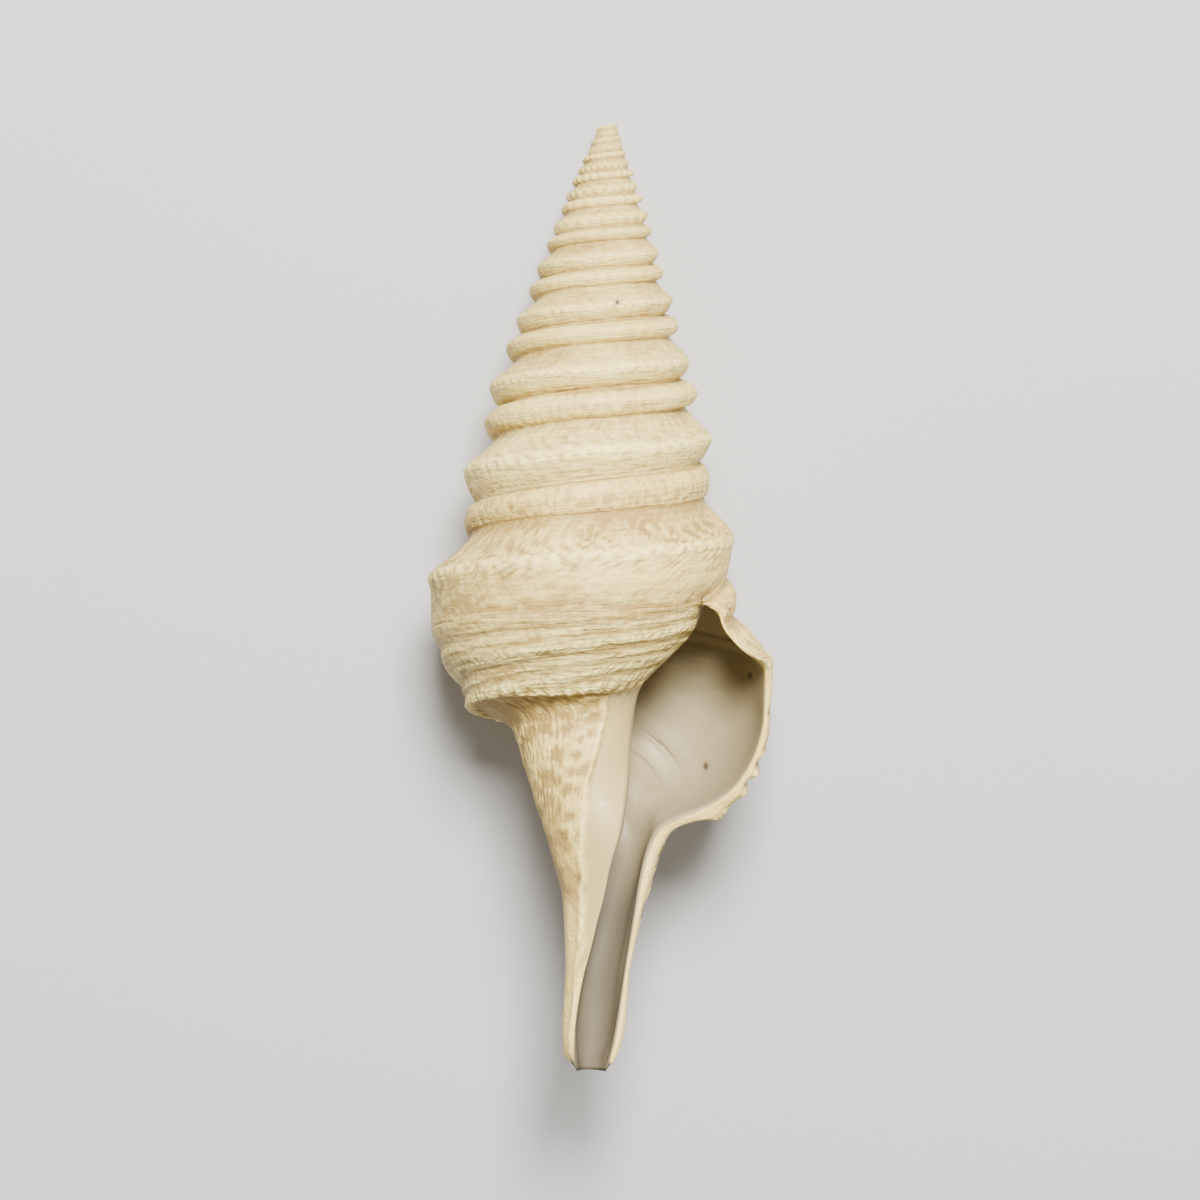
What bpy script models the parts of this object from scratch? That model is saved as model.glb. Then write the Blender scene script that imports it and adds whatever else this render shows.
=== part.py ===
# A turrid sea shell: a tall stepped spire, a keeled last whorl and a long open canal.
#
# The shell is one solid. Its outside follows one growth rule: an outline drawn from suture to
# suture turns about the shell's axis and grows by the same share each turn. Below the last
# whorl the base draws in to a bent neck. The hollow of the last whorl runs back behind the
# lip, round the columella, and opens below into the canal.
#
# Shell frame, in millimetres: X to the shell's right, where the lip is, "drop" down the axis
# from the point where the spire's sides would meet, and Z towards whoever looks into the
# aperture. Angles count from X towards Z. At the end the shell is laid on its back.

import math

import bmesh
import bpy
import numpy as np
from mathutils import Matrix

MM = 0.001

# Driving sizes, in millimetres and turns.
KEEL_DROP = 29.8  # drop of the keel at the lip
GROWTH = 1.28  # each turn is this much larger than the one before
SPIRE_TURNS = 10  # turns from the worn apex to the lip
LIP_DEG = 8.0  # the outer lip stands this far round from the right side
CANAL_END = 51.7  # drop of the canal's end
CANAL_SLANT = 0.35  # the end reaches this much lower on the left and less on the right
LEDGE_FALL = 0.5  # how quickly the base draws in to the neck
NECK_CROWDING = 1.5  # the neck's rows stand closer under the ridge
HOLLOW_TAPER = 0.40  # how much of its width the hollow has lost half a turn back
WALL = 0.40  # least thickness of the shell away from its edges
WALL_SOFTNESS = 0.25
WALL_FADE_DEG = (2, 25)  # degrees behind the lip over which that thickness is reached
CANAL_WALL = 0.55  # thickness of the canal's floor
CANAL_OVERHANG = 0.05  # how far the columella's edge stands out over the canal's floor
LEAST_FLOOR = 0.3  # least radius of the canal's floor
LIP_START = -0.30  # turn from which the lip's own shape comes in
START_END = -0.30  # turn at which the inner lip's shape has gone again

# How the shell lies: tilt of its axis, with the apex low, and depth of the worn rest spots.
TILT_DEG = 16.0
WORN_FLAT = 0.15
BACK_KEEL_DROP = (26.0, 30.0)  # the keel on the back of the last whorl, where the origin goes

# How fine the faceted solid is.
STEPS_PER_TURN = 30
NECK_ROWS = 16
HOLLOW_STEPS = 26
HOLLOW_ROWS = 30

# Outlines from suture to suture, and on to the ridge at the base of the last whorl, as
# (drop, radius) in shares of the keel's own drop. FRONT, LEFT, BACK and RIGHT are the last
# whorl where it starts beside the inner lip, on the left, on the back and on the right. CORNER
# is its top rows at the aperture's upper corner.
SPIRE = [
    (0.842, 0.238), (0.850, 0.270), (0.878, 0.295), (0.905, 0.285), (0.922, 0.262),
    (0.955, 0.290), (0.985, 0.326), (1.010, 0.340), (1.050, 0.328), (1.078, 0.305),
]
FRONT = [
    (0.842, 0.225), (0.850, 0.255), (0.878, 0.279), (0.905, 0.269), (0.922, 0.250),
    (0.955, 0.276), (0.985, 0.309), (1.010, 0.320), (1.060, 0.318), (1.136, 0.285),
    (1.150, 0.281), (1.166, 0.275), (1.186, 0.266), (1.218, 0.250), (1.252, 0.222),
    (1.292, 0.181), (1.322, 0.150),
]
LEFT = [
    (0.850, 0.222), (0.858, 0.238), (0.883, 0.246), (0.902, 0.241), (0.914, 0.234),
    (0.950, 0.258), (0.985, 0.297), (1.003, 0.309), (1.040, 0.306), (1.083, 0.303),
    (1.105, 0.301), (1.140, 0.284), (1.170, 0.275), (1.188, 0.253), (1.212, 0.236),
    (1.238, 0.227), (1.250, 0.221),
]
BACK = [
    (0.846, 0.230), (0.856, 0.246), (0.886, 0.255), (0.904, 0.250), (0.917, 0.246),
    (0.950, 0.268), (0.985, 0.305), (1.002, 0.317), (1.040, 0.318), (1.083, 0.315),
    (1.105, 0.311), (1.138, 0.296), (1.165, 0.283), (1.185, 0.262), (1.207, 0.243),
    (1.225, 0.228), (1.238, 0.214),
]
RIGHT = [
    (0.859, 0.244), (0.872, 0.256), (0.900, 0.263), (0.913, 0.261), (0.925, 0.258),
    (0.953, 0.288), (0.985, 0.317), (1.000, 0.327), (1.045, 0.331), (1.085, 0.331),
    (1.104, 0.331), (1.142, 0.328), (1.176, 0.314), (1.209, 0.300), (1.236, 0.283),
    (1.262, 0.258), (1.275, 0.243),
]
CORNER = [(0.888, 0.222), (0.890, 0.237), (0.896, 0.249), (0.907, 0.257), (0.921, 0.258)]
SUTURE_ROW = 9
RIDGE_ROW = 16
# Degrees at which the last whorl has each of these outlines, counted on from the inner lip's side.
OUTLINE_DEG = {"front": LIP_DEG, "left": 180, "back": 250, "right": 360, "corner": 390, "past": 396}
SPIRE_ENDS = -1.25  # turn from which the spire's outline changes into the last whorl's
RIGHT_TURN = -LIP_DEG / 360
# Degrees by which each row of the lip stands ahead of its plane: far up at the suture and on the
# ramp, where the lip draws back a little, not at the keel, and a little below it.
LIP_ROWS_DEG = [23, 20, 17, 15, 14, 18, 13, 3, 1, 4, 5, 5, 5, 4, 2, 0, 0]
# How much slimmer than the spire's straight cone each turn is.
SLIMMING = [
    (-10, 0.71), (-8.9, 0.79), (-7.7, 0.86), (-6.9, 0.92), (-5.9, 0.97), (-5.0, 1.0), (-2.2, 1.0),
    (-1.5, 0.94), (-1.0, 0.94),
]

# The neck and canal as (drop, distance from the axis) of their left and right sides.
NECK_LEFT = [
    (29.0, 3.0), (33.0, 3.15), (34.2, 3.15), (35.4, 2.87), (37.4, 2.16), (39.2, 1.52), (41.1, 0.93),
    (42.5, 0.52), (44.6, 0.31), (46.8, 0.18), (48.8, 0.18), (50.6, 0.07), (51.6, -0.25), (53.0, -0.8),
]
NECK_RIGHT = [
    (29.0, 3.0), (33.0, 3.0), (35.0, 3.15), (37.0, 3.75), (38.3, 4.35), (39.4, 4.6), (40.0, 4.45),
    (41.4, 4.14), (43.1, 3.73), (44.8, 3.46), (46.7, 3.19), (48.6, 3.15), (50.1, 3.0), (51.3, 2.6),
    (53.0, 2.2),
]
# The aperture's edges, from its upper corner down: (drop, distance to the right of the axis).
LIP_EDGE = [
    (27.2, 6.15), (27.3, 6.45), (27.45, 6.70), (27.8, 6.86), (28.2, 6.98), (28.9, 7.60), (29.6, 8.42),
    (29.9, 9.02), (30.15, 9.36), (32.6, 9.46), (34.5, 9.08), (36.2, 8.20), (37.4, 6.85), (38.3, 4.90),
    (38.9, 4.15), (40.9, 3.55), (43.5, 3.25), (45.7, 3.00), (48.0, 2.74), (49.8, 2.52), (51.6, 2.20),
]
INNER_EDGE = [
    (27.0, 5.60), (27.3, 5.70), (28.3, 5.62), (29.0, 5.20), (29.8, 4.35), (31.1, 3.10), (32.4, 2.72),
    (33.9, 2.55), (36.7, 2.50), (37.6, 2.44), (39.0, 2.34), (40.9, 1.90), (42.4, 1.70), (43.8, 1.38),
    (45.2, 1.14), (46.5, 0.82), (48.4, 0.55), (49.6, 0.45), (51.6, 0.50),
]
# How many degrees the hollow runs back behind the lip, at each drop.
HOLLOW_DEPTH = [(27.0, 200), (32.0, 190), (34.5, 140), (36.5, 105), (38.5, 85), (41.5, 70), (53.0, 66)]
# Radius of the columella inside the hollow.
PILLAR = [(24.0, 3.0), (33.0, 2.45), (36.0, 2.0), (38.0, 1.6), (40.0, 1.3), (53.0, 0.4)]
# Above the first of these drops the hollow's inner side is the whorl before, below the last it
# is the columella.
PILLAR_DROPS = (31, 36)
PILLAR_DEG = 60  # degrees behind the inner lip where it is the columella's own radius
CANAL_DROPS = (35.0, 41.5)  # between these the last whorl's hollow changes into the canal
ROW_CROWDING = 1.15  # the hollow's rows stand closer at the top
TURN_ROUND = 0.16  # share of the steps in which the hollow passes from outer wall to columella
TURN_SHARPNESS = 1.6
FLOOR_STEPS = 0.6  # share of the steps that the canal's outer wall and floor take


def smooth_step(low, high, x):
    share = np.clip((np.asarray(x, float) - low) / (high - low), 0, 1)
    return share * share * (3 - 2 * share)


def curve(points, x):
    """A smooth line through points that never overshoots them."""
    px, py = np.array(points, float).T
    step = np.diff(px)
    slope = np.diff(py) / step
    both = slope[:-1] * slope[1:]
    lean = np.zeros(len(px))
    bend = slope[:-1] + slope[1:]
    lean[1:-1] = np.where(both > 0, 2 * both / np.where(both > 0, bend, 1), 0)
    lean[0], lean[-1] = slope[0], slope[-1]
    x = np.clip(np.asarray(x, float), px[0], px[-1])
    i = np.clip(np.searchsorted(px, x) - 1, 0, len(px) - 2)
    f = (x - px[i]) / step[i]
    return (
        py[i] * (1 + 2 * f) * (1 - f) ** 2
        + py[i + 1] * f * f * (3 - 2 * f)
        + step[i] * f * (1 - f) * ((1 - f) * lean[i] - f * lean[i + 1])
    )


def neck_circle(drop):
    """Centre (right of the axis) and radius of the neck's round section."""
    left = curve(NECK_LEFT, drop)
    right = curve(NECK_RIGHT, drop)
    return (right - left) / 2, (right + left) / 2


def keel_drop(turn):
    return KEEL_DROP * GROWTH ** (turn - RIGHT_TURN)


def whorl_outline(turn):
    """Outline at one turn before the lip, as (drop, radius) in shares of the keel's own drop."""
    slim = np.array(SPIRE) * [1, curve(SLIMMING, turn)]
    if turn < SPIRE_ENDS:
        return slim
    corner = np.array(RIGHT)
    corner[: len(CORNER)] = CORNER
    tables = [slim] + [np.array(table) for table in (FRONT, LEFT, BACK, RIGHT)] + [corner, corner]
    places = [SPIRE_ENDS] + [(degrees - LIP_DEG) / 360 - 1 for degrees in OUTLINE_DEG.values()]
    number = min(np.searchsorted(places, turn, side="right") - 1, len(places) - 2)
    share = smooth_step(places[number], places[number + 1], turn)
    count = min(len(tables[number]), len(tables[number + 1]))
    here, there = tables[number][:count], tables[number + 1][:count]
    return here + (there - here) * share


def row_leads(turn):
    """Degrees by which each row stands ahead at one turn: at the lip, and at the inner lip."""
    if turn < -1 - 1e-6:
        leads = np.zeros(SUTURE_ROW + 1)
        leads[SUTURE_ROW] = LIP_ROWS_DEG[0] * smooth_step(LIP_START, 0, turn + 1)
        leads[SUTURE_ROW - 1] = leads[SUTURE_ROW] / 2
        return leads
    at_lip = np.array(LIP_ROWS_DEG) * smooth_step(LIP_START, 0, turn)
    return at_lip + start_rows_deg * (1 - smooth_step(-1, START_END, turn))


def led_outline(turn, leads):
    """Drop and radius of each row, in millimetres, where its lead takes it."""
    rows = []
    for row, lead in enumerate(leads):
        here = turn + lead / 360
        if row == SUTURE_ROW and turn < -1 + 1e-6:
            share = whorl_outline(here + 1)[0] * GROWTH
        else:
            share = whorl_outline(here)[row]
        rows.append(share * keel_drop(here))
    return np.array(rows)


def find_start_rows():
    """Where the outside has to start, row by row, to begin at the aperture's inner edge."""
    leads = np.zeros(RIDGE_ROW + 1)
    leads[SUTURE_ROW] = LIP_ROWS_DEG[0]
    leads[SUTURE_ROW - 1] = LIP_ROWS_DEG[0] / 2
    for _ in range(8):
        table = led_outline(-1, leads)
        for row in range(SUTURE_ROW + 1, RIDGE_ROW + 1):
            reach = min(curve(INNER_EDGE, table[row, 0]) / table[row, 1], 1)
            leads[row] = max(math.degrees(math.acos(reach)) - LIP_DEG, 0)
    return leads


def neck_below(turn, ridge, ridge_radius):
    """Drop, centre and radius down the neck below the ridge at one turn."""
    end = CANAL_END - CANAL_SLANT * math.cos(math.radians(LIP_DEG + 360 * turn))
    drop = ridge + (end - ridge) * np.linspace(0, 1, NECK_ROWS + 1)[1:] ** NECK_CROWDING
    centre, radius = neck_circle(drop)
    ledge = np.exp((ridge - drop) / LEDGE_FALL)
    return drop, centre * (1 - ledge), radius + (ridge_radius - neck_circle(ridge)[1]) * ledge


def outer_rows(turn):
    """Points (x, drop, z) down the outside at one turn before the lip."""
    leads = row_leads(turn)
    drops, radii = led_outline(turn, leads).T
    centres = np.zeros(len(drops))
    if turn > -1 - 1e-6:
        neck_drop, neck_centre, neck_radius = neck_below(turn, drops[-1], radii[-1])
        start_share = 1 - smooth_step(-1, START_END, turn)
        reach = np.clip((curve(INNER_EDGE, neck_drop) - neck_centre) / neck_radius, -0.9, 1)
        at_start = np.degrees(np.arccos(reach)) - LIP_DEG
        leads = np.append(leads, leads[-1] * (1 - start_share) + at_start * start_share)
        drops = np.append(drops, neck_drop)
        centres = np.append(centres, neck_centre)
        radii = np.append(radii, neck_radius)
    angles = np.radians(LIP_DEG + 360 * turn + leads)
    return np.stack([centres + radii * np.cos(angles), drops, radii * np.sin(angles)], axis=1)


def outside_sections():
    """Drop, centre and radius of the outside at every second degree behind the lip."""
    sections = []
    for degrees in range(0, 362, 2):
        drops, radii = (whorl_outline(-degrees / 360) * keel_drop(-degrees / 360)).T
        neck_drop, neck_centre, neck_radius = neck_below(-degrees / 360, drops[-1], radii[-1])
        centres = np.append(drops * 0, neck_centre)
        sections.append((np.append(drops, neck_drop), centres, np.append(radii, neck_radius)))
    return sections


def kept_inside(sections, place, behind):
    """Draws a point of the hollow in where the wall outside it would be too thin."""
    x, drop, z = place
    past_lip = 40  # degrees in front of the lip that still count as at the lip
    degrees = (LIP_DEG - math.degrees(math.atan2(z, x)) + past_lip) % 360 - past_lip
    drops, centres, radii = sections[int(max(degrees, 0) / 2)]
    centre = np.interp(drop, drops, centres)
    limit = min(np.interp([drop, drop + WALL], drops, radii)) - WALL
    away = math.hypot(x - centre, z)
    softened = (away + limit - math.hypot(away - limit, WALL_SOFTNESS)) / 2
    share = 1 + (softened / away - 1) * float(smooth_step(*WALL_FADE_DEG, behind))
    return [centre + (x - centre) * share, drop, z * share]


def in_the_whorl(step, drop, behind, shrink, lip_edge, inner_edge):
    """The hollow as the aperture's outline turned back round the columella and shrunk."""
    across = 0.5 + 0.5 * math.sin(math.pi / 2 * np.clip((step - 0.5) / TURN_ROUND, -1, 1))
    inner_r = np.hypot(*inner_edge)
    pillar = curve(PILLAR, drop)
    pillar = pillar + (inner_r - pillar) * (1 - smooth_step(*PILLAR_DROPS, drop))
    inner_r = (inner_r + (pillar - inner_r) * smooth_step(0, PILLAR_DEG, behind)) * shrink
    width = (np.hypot(*lip_edge) * shrink - inner_r) * (1 - HOLLOW_TAPER * behind / 180)
    radius = inner_r + width * (1 - across)
    outer_angle = np.arctan2(lip_edge[1], lip_edge[0])
    inner_angle = np.arctan2(inner_edge[1], inner_edge[0])
    angle = outer_angle + (inner_angle - outer_angle) * across - np.radians(behind)
    return np.stack([radius * np.cos(angle), drop * shrink, radius * np.sin(angle)], axis=1)


def in_the_canal(step, drop, lip_edge, inner_edge):
    """The hollow along the canal's outer wall to its floor, then up the columella's side."""
    centre, neck = neck_circle(drop)
    wall_angle = np.arctan2(lip_edge[1], lip_edge[0] - centre)
    wall_r = np.hypot(lip_edge[1], lip_edge[0] - centre)
    floor_r = np.maximum(neck - CANAL_WALL, LEAST_FLOOR)
    floor_reach = np.clip((inner_edge[0] + CANAL_OVERHANG - centre) / floor_r, -0.9, 0.95)
    along = min(step / FLOOR_STEPS, 1)
    angle = wall_angle + (-np.arccos(floor_reach) - wall_angle) * along
    radius = wall_r + (floor_r - wall_r) * smooth_step(0, 0.5, along)
    x = centre + radius * np.cos(angle)
    z = radius * np.sin(angle)
    rise = max((step - FLOOR_STEPS) / (1 - FLOOR_STEPS), 0)
    x = x + (inner_edge[0] - x) * rise
    z = z + (inner_edge[1] - z) * rise
    return np.stack([x, drop, z], axis=1)


def hollow_rows(step, lip, start_edge, sections):
    """Points (x, drop, z) down the hollow at one step round it: 0 at the lip, 1 at the inner lip.

    Each row leaves the lip, runs back round the columella, turns and comes forward to the
    inner lip. In the canal it only crosses the floor from one wall to the other.
    """
    share = np.linspace(0, 1, HOLLOW_ROWS + 1) ** ROW_CROWDING
    drop = LIP_EDGE[0][0] + (CANAL_END - LIP_EDGE[0][0]) * share
    lip_edge = np.array([curve(LIP_EDGE, drop), np.interp(drop, lip[:, 1], lip[:, 2])])
    inner_edge = np.array([np.interp(drop, start_edge[:, 1], start_edge[:, k]) for k in (0, 2)])
    inner_edge[:, 0] = lip_edge[:, 0]
    whorl = 1 - smooth_step(*CANAL_DROPS, drop)
    behind = (1 - abs(2 * step - 1) ** TURN_SHARPNESS) * curve(HOLLOW_DEPTH, drop)
    shrink = GROWTH ** (-behind / 360 * whorl)
    above = in_the_whorl(step, drop, behind, shrink, lip_edge, inner_edge) * whorl[:, None]
    below = in_the_canal(step, drop, lip_edge, inner_edge) * (1 - whorl[:, None])
    return np.array([kept_inside(sections, *pair) for pair in zip(above + below, behind)])


def zipped(first, second, points):
    """Triangles between two lines of vertices, always closing the shorter way across."""
    faces = []
    i = j = 0
    while i < len(first) - 1 or j < len(second) - 1:
        ahead_first = ahead_second = math.inf
        if i < len(first) - 1:
            ahead_first = np.linalg.norm(points[first[i + 1]] - points[second[j]])
        if j < len(second) - 1:
            ahead_second = np.linalg.norm(points[first[i]] - points[second[j + 1]])
        if ahead_first <= ahead_second:
            faces.append((first[i], first[i + 1], second[j]))
            i += 1
        else:
            faces.append((first[i], second[j + 1], second[j]))
            j += 1
    return [face for face in faces if len(set(face)) == 3]


def shell_mesh():
    """Vertices (x, drop, z) and faces of the whole closed shell."""
    points = []
    columns = []
    steps = STEPS_PER_TURN
    last = SPIRE_TURNS * steps
    for column in range(last + 1):
        rows = outer_rows(column / steps - SPIRE_TURNS)
        first_row = 0
        ids = []
        if column >= steps:
            ids.append(columns[column - steps][SUTURE_ROW])
            first_row = 1
        for row in rows[first_row:]:
            ids.append(len(points))
            points.append(row)
        columns.append(ids)
    faces = []
    for column in range(last):
        here, there = columns[column], columns[column + 1]
        for row in range(min(len(here), len(there)) - 1):
            faces.append((here[row], there[row], there[row + 1], here[row + 1]))
    start, lip = columns[last - steps], columns[last]
    faces += apex_cap(columns, points)

    start_edge = np.array(points)[start[SUTURE_ROW:]]
    lip_line = np.array(points)[lip]
    sections = outside_sections()
    hollow = []
    for step in range(HOLLOW_STEPS + 1):
        rows = hollow_rows(step / HOLLOW_STEPS, lip_line, start_edge, sections)
        ids = []
        for number, row in enumerate(rows):
            mirrored = HOLLOW_STEPS - step
            if number == 0 and step > mirrored:
                ids.append(hollow[mirrored][0])
                continue
            ids.append(len(points))
            points.append(row)
        hollow.append(ids)
    # The inner lip belongs to the outside, so the hollow's last column stops just short of it.
    for step in range(HOLLOW_STEPS - 1):
        here, there = hollow[step], hollow[step + 1]
        for row in range(HOLLOW_ROWS):
            faces.append((here[row], there[row], there[row + 1], here[row + 1]))
    points = np.array(points)
    inner = hollow[HOLLOW_STEPS - 1]
    front = [hollow[0][0]] + inner[1:]
    faces.append((hollow[0][0], inner[0], inner[1]))
    faces += zipped(lip, hollow[0], points)
    faces += zipped(start[SUTURE_ROW:], front, points)
    outer_end = [columns[column][-1] for column in range(last, last - steps - 1, -1)]
    inner_end = [ids[-1] for ids in hollow[:HOLLOW_STEPS]]
    faces += zipped(outer_end, inner_end, points)
    return points, faces


def apex_cap(columns, points):
    """Closes the worn tip: the first turn's upper edge rises to its own end, round a middle point."""
    steps = STEPS_PER_TURN
    rim = [columns[column][0] for column in range(steps)]
    rim += columns[steps][:1]
    centre = np.mean([points[index] for index in rim], axis=0)
    centre[1] -= 0.1
    points.append(centre)
    tip = len(points) - 1
    faces = [(rim[k + 1], rim[k], tip) for k in range(len(rim) - 1)]
    first_column = columns[0][: SUTURE_ROW + 1]
    faces += [(first_column[row], first_column[row + 1], tip) for row in range(SUTURE_ROW)]
    return faces


def shell_material():
    material = bpy.data.materials.new("ivory shell")
    material.use_nodes = True
    finish = material.node_tree.nodes["Principled BSDF"]
    finish.inputs["Base Color"].default_value = (0.72, 0.62, 0.45, 1)
    finish.inputs["Roughness"].default_value = 0.55
    finish.inputs["Metallic"].default_value = 0.0
    return material


def lay_down(points):
    """World positions in metres: on its back, apex towards +Y, aperture up, worn flat at Z = 0."""
    upright = np.stack([points[:, 0], -points[:, 1], points[:, 2]], axis=1)
    tilt = Matrix.Rotation(math.radians(-TILT_DEG), 3, "X")
    placed = upright @ np.array(tilt).T
    on_keel = (points[:, 1] > BACK_KEEL_DROP[0]) & (points[:, 1] < BACK_KEEL_DROP[1])
    foot = placed[on_keel][np.argmin(placed[on_keel, 2])]
    return (placed - foot + [0, 0, -WORN_FLAT]) * MM


def make_collection(name):
    collection = bpy.data.collections.new(name)
    bpy.context.scene.collection.children.link(collection)
    return collection


def make_shell(collection):
    points, faces = shell_mesh()
    mesh = bpy.data.meshes.new("shell")
    mesh.from_pydata(lay_down(points).tolist(), [], faces)
    model = bmesh.new()
    model.from_mesh(mesh)
    bmesh.ops.recalc_face_normals(model, faces=model.faces)
    bmesh.ops.triangulate(model, faces=model.faces)
    model.to_mesh(mesh)
    model.free()
    mesh.materials.append(shell_material())
    shell = bpy.data.objects.new("shell", mesh)
    collection.objects.link(shell)
    return shell


def wear_flat(shell, collection):
    """Planes off the keels where the shell touches the ground, as a small flat spot."""
    size = 0.12
    bpy.ops.mesh.primitive_cube_add(size=size, location=(0, 0, -size / 2))
    ground = bpy.context.object
    ground.name = "rest_cutter"
    for owner in list(ground.users_collection):
        owner.objects.unlink(ground)
    collection.objects.link(ground)
    ground.hide_render = True
    ground.display_type = "WIRE"
    cut = shell.modifiers.new("worn flat", "BOOLEAN")
    cut.operation = "DIFFERENCE"
    cut.solver = "EXACT"
    cut.object = ground


def main():
    for old in list(bpy.data.objects):
        bpy.data.objects.remove(old)
    parts = make_collection("turrid shell")
    cutters = make_collection("cutters")
    shell = make_shell(parts)
    wear_flat(shell, cutters)
    shell.data.shade_smooth()
    shell.data.set_sharp_from_angle(angle=math.radians(50))


start_rows_deg = find_start_rows()
main()
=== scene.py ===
# A turrid sea shell lying on its back: tall stepped spire, keeled last whorl, open mouth, long canal.
#
# Lengths in the dictionaries are millimetres. The shell has its own axes: X to the side where the
# lip is, "drop" down the axis from the point where the spire's sides would meet, and Z out of the
# mouth. "turn" counts back from the lip, 0 at the lip and -10 at the tip. "row" counts down a whorl:
# 0 at its upper suture, 2 on the cord below it, 4 in the groove, 7 on the keel, 9 at the lower
# suture, and on the last whorl to 16 at the ridge under the base, where the neck starts. "lead" is
# by how many degrees a row stands ahead of its turn, and "age" is the turn at which the lip made a
# point, so that marks of growth have the lip's own shape.

import math

import bmesh
import bpy
import numpy as np
from mathutils import Matrix, Vector


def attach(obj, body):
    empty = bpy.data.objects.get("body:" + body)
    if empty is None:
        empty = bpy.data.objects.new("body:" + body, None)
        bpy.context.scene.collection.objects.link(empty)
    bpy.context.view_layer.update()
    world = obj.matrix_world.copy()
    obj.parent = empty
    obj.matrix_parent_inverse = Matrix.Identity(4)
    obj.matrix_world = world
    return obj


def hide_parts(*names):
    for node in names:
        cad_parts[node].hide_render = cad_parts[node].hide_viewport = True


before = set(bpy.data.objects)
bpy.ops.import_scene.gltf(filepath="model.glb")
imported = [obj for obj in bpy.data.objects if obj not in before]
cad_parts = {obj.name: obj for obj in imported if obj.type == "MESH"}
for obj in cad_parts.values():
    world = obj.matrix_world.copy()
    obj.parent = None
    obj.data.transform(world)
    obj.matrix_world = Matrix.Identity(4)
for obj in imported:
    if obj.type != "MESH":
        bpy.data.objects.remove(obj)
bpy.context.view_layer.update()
mm = 0.001
print("frame loaded")


# Nodes: a sheet holds a node tree, and a field is one value on it that takes ordinary sums.

class Field:
    def __init__(self, sheet, socket):
        self.sheet = sheet
        self.socket = socket

    def __add__(self, other):
        return self.sheet.sum("ADD", self, other)

    def __sub__(self, other):
        return self.sheet.sum("SUBTRACT", self, other)

    def __rsub__(self, other):
        return self.sheet.sum("SUBTRACT", other, self)

    def __mul__(self, other):
        return self.sheet.sum("MULTIPLY", self, other)

    def __truediv__(self, other):
        return self.sheet.sum("DIVIDE", self, other)

    def __pow__(self, other):
        return self.sheet.sum("POWER", self, other)

    __radd__ = __add__


class NodeSheet:
    def __init__(self, tree):
        self.tree = tree
        self.count = 0

    def node(self, kind, **settings):
        made = self.tree.nodes.new(kind)
        for name, value in settings.items():
            setattr(made, name, value)
        made.location = (230 * (self.count // 9), -200 * (self.count % 9))
        self.count += 1
        return made

    def plug(self, socket, value):
        if isinstance(value, Field):
            self.tree.links.new(value.socket, socket)
        else:
            socket.default_value = value

    def make(self, kind, inputs, output=0, **settings):
        made = self.node(kind, **settings)
        live = {}
        for socket in made.inputs:
            if socket.enabled:
                live.setdefault(socket.name, socket)
        for name, value in inputs.items():
            self.plug(live[name], value)
        shown = [socket for socket in made.outputs if socket.enabled]
        return Field(self, shown[output])

    def sum(self, operation, *values):
        made = self.node("ShaderNodeMath", operation=operation)
        for socket, value in zip(made.inputs, values):
            self.plug(socket, value)
        return Field(self, made.outputs[0])

    def sine(self, value):
        return self.sum("SINE", value)

    def cosine(self, value):
        return self.sum("COSINE", value)

    def wave(self, cycles):  # 1 on each crest, 0 in each trough, one crest for each whole number
        return self.cosine(cycles * math.tau) * 0.5 + 0.5

    def bell(self, value, middle, width):  # 1 at the middle, falling to 0 on both sides
        away = (value - middle) / width
        return self.sum("EXPONENT", away * away * -1.0)

    def bells(self, value, humps):  # the sum of several bells, each (middle, width, height)
        total = 0.0
        for middle, width, tall in humps:
            total = self.bell(value, middle, width) * tall + total
        return total

    def smooth(self, value, low, high):  # rises from 0 at low to 1 at high
        inputs = {"Value": value, "From Min": low, "From Max": high}
        return self.make("ShaderNodeMapRange", inputs, interpolation_type="SMOOTHSTEP")

    def between(self, value, low, high):
        return self.sum("MINIMUM", self.sum("MAXIMUM", value, low), high)

    def vector(self, x, y, z):
        return self.make("ShaderNodeCombineXYZ", {"X": x, "Y": y, "Z": z})

    def split(self, vector):
        made = self.node("ShaderNodeSeparateXYZ")
        self.plug(made.inputs[0], vector)
        return [Field(self, socket) for socket in made.outputs]

    def vectorSum(self, operation, first, second):
        made = self.node("ShaderNodeVectorMath", operation=operation)
        self.plug(made.inputs[0], first)
        self.plug(made.inputs[1], second)
        return Field(self, made.outputs["Value" if operation == "DOT_PRODUCT" else "Vector"])

    def scaled(self, vector, amount):
        made = self.node("ShaderNodeVectorMath", operation="SCALE")
        self.plug(made.inputs[0], vector)
        self.plug(made.inputs["Scale"], amount)
        return Field(self, made.outputs["Vector"])

    def noise(self, vector, scale=1.0, detail=2.0, roughness=0.5):
        inputs = {"Vector": vector, "Scale": scale, "Detail": detail, "Roughness": roughness}
        return self.make("ShaderNodeTexNoise", inputs)


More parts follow.
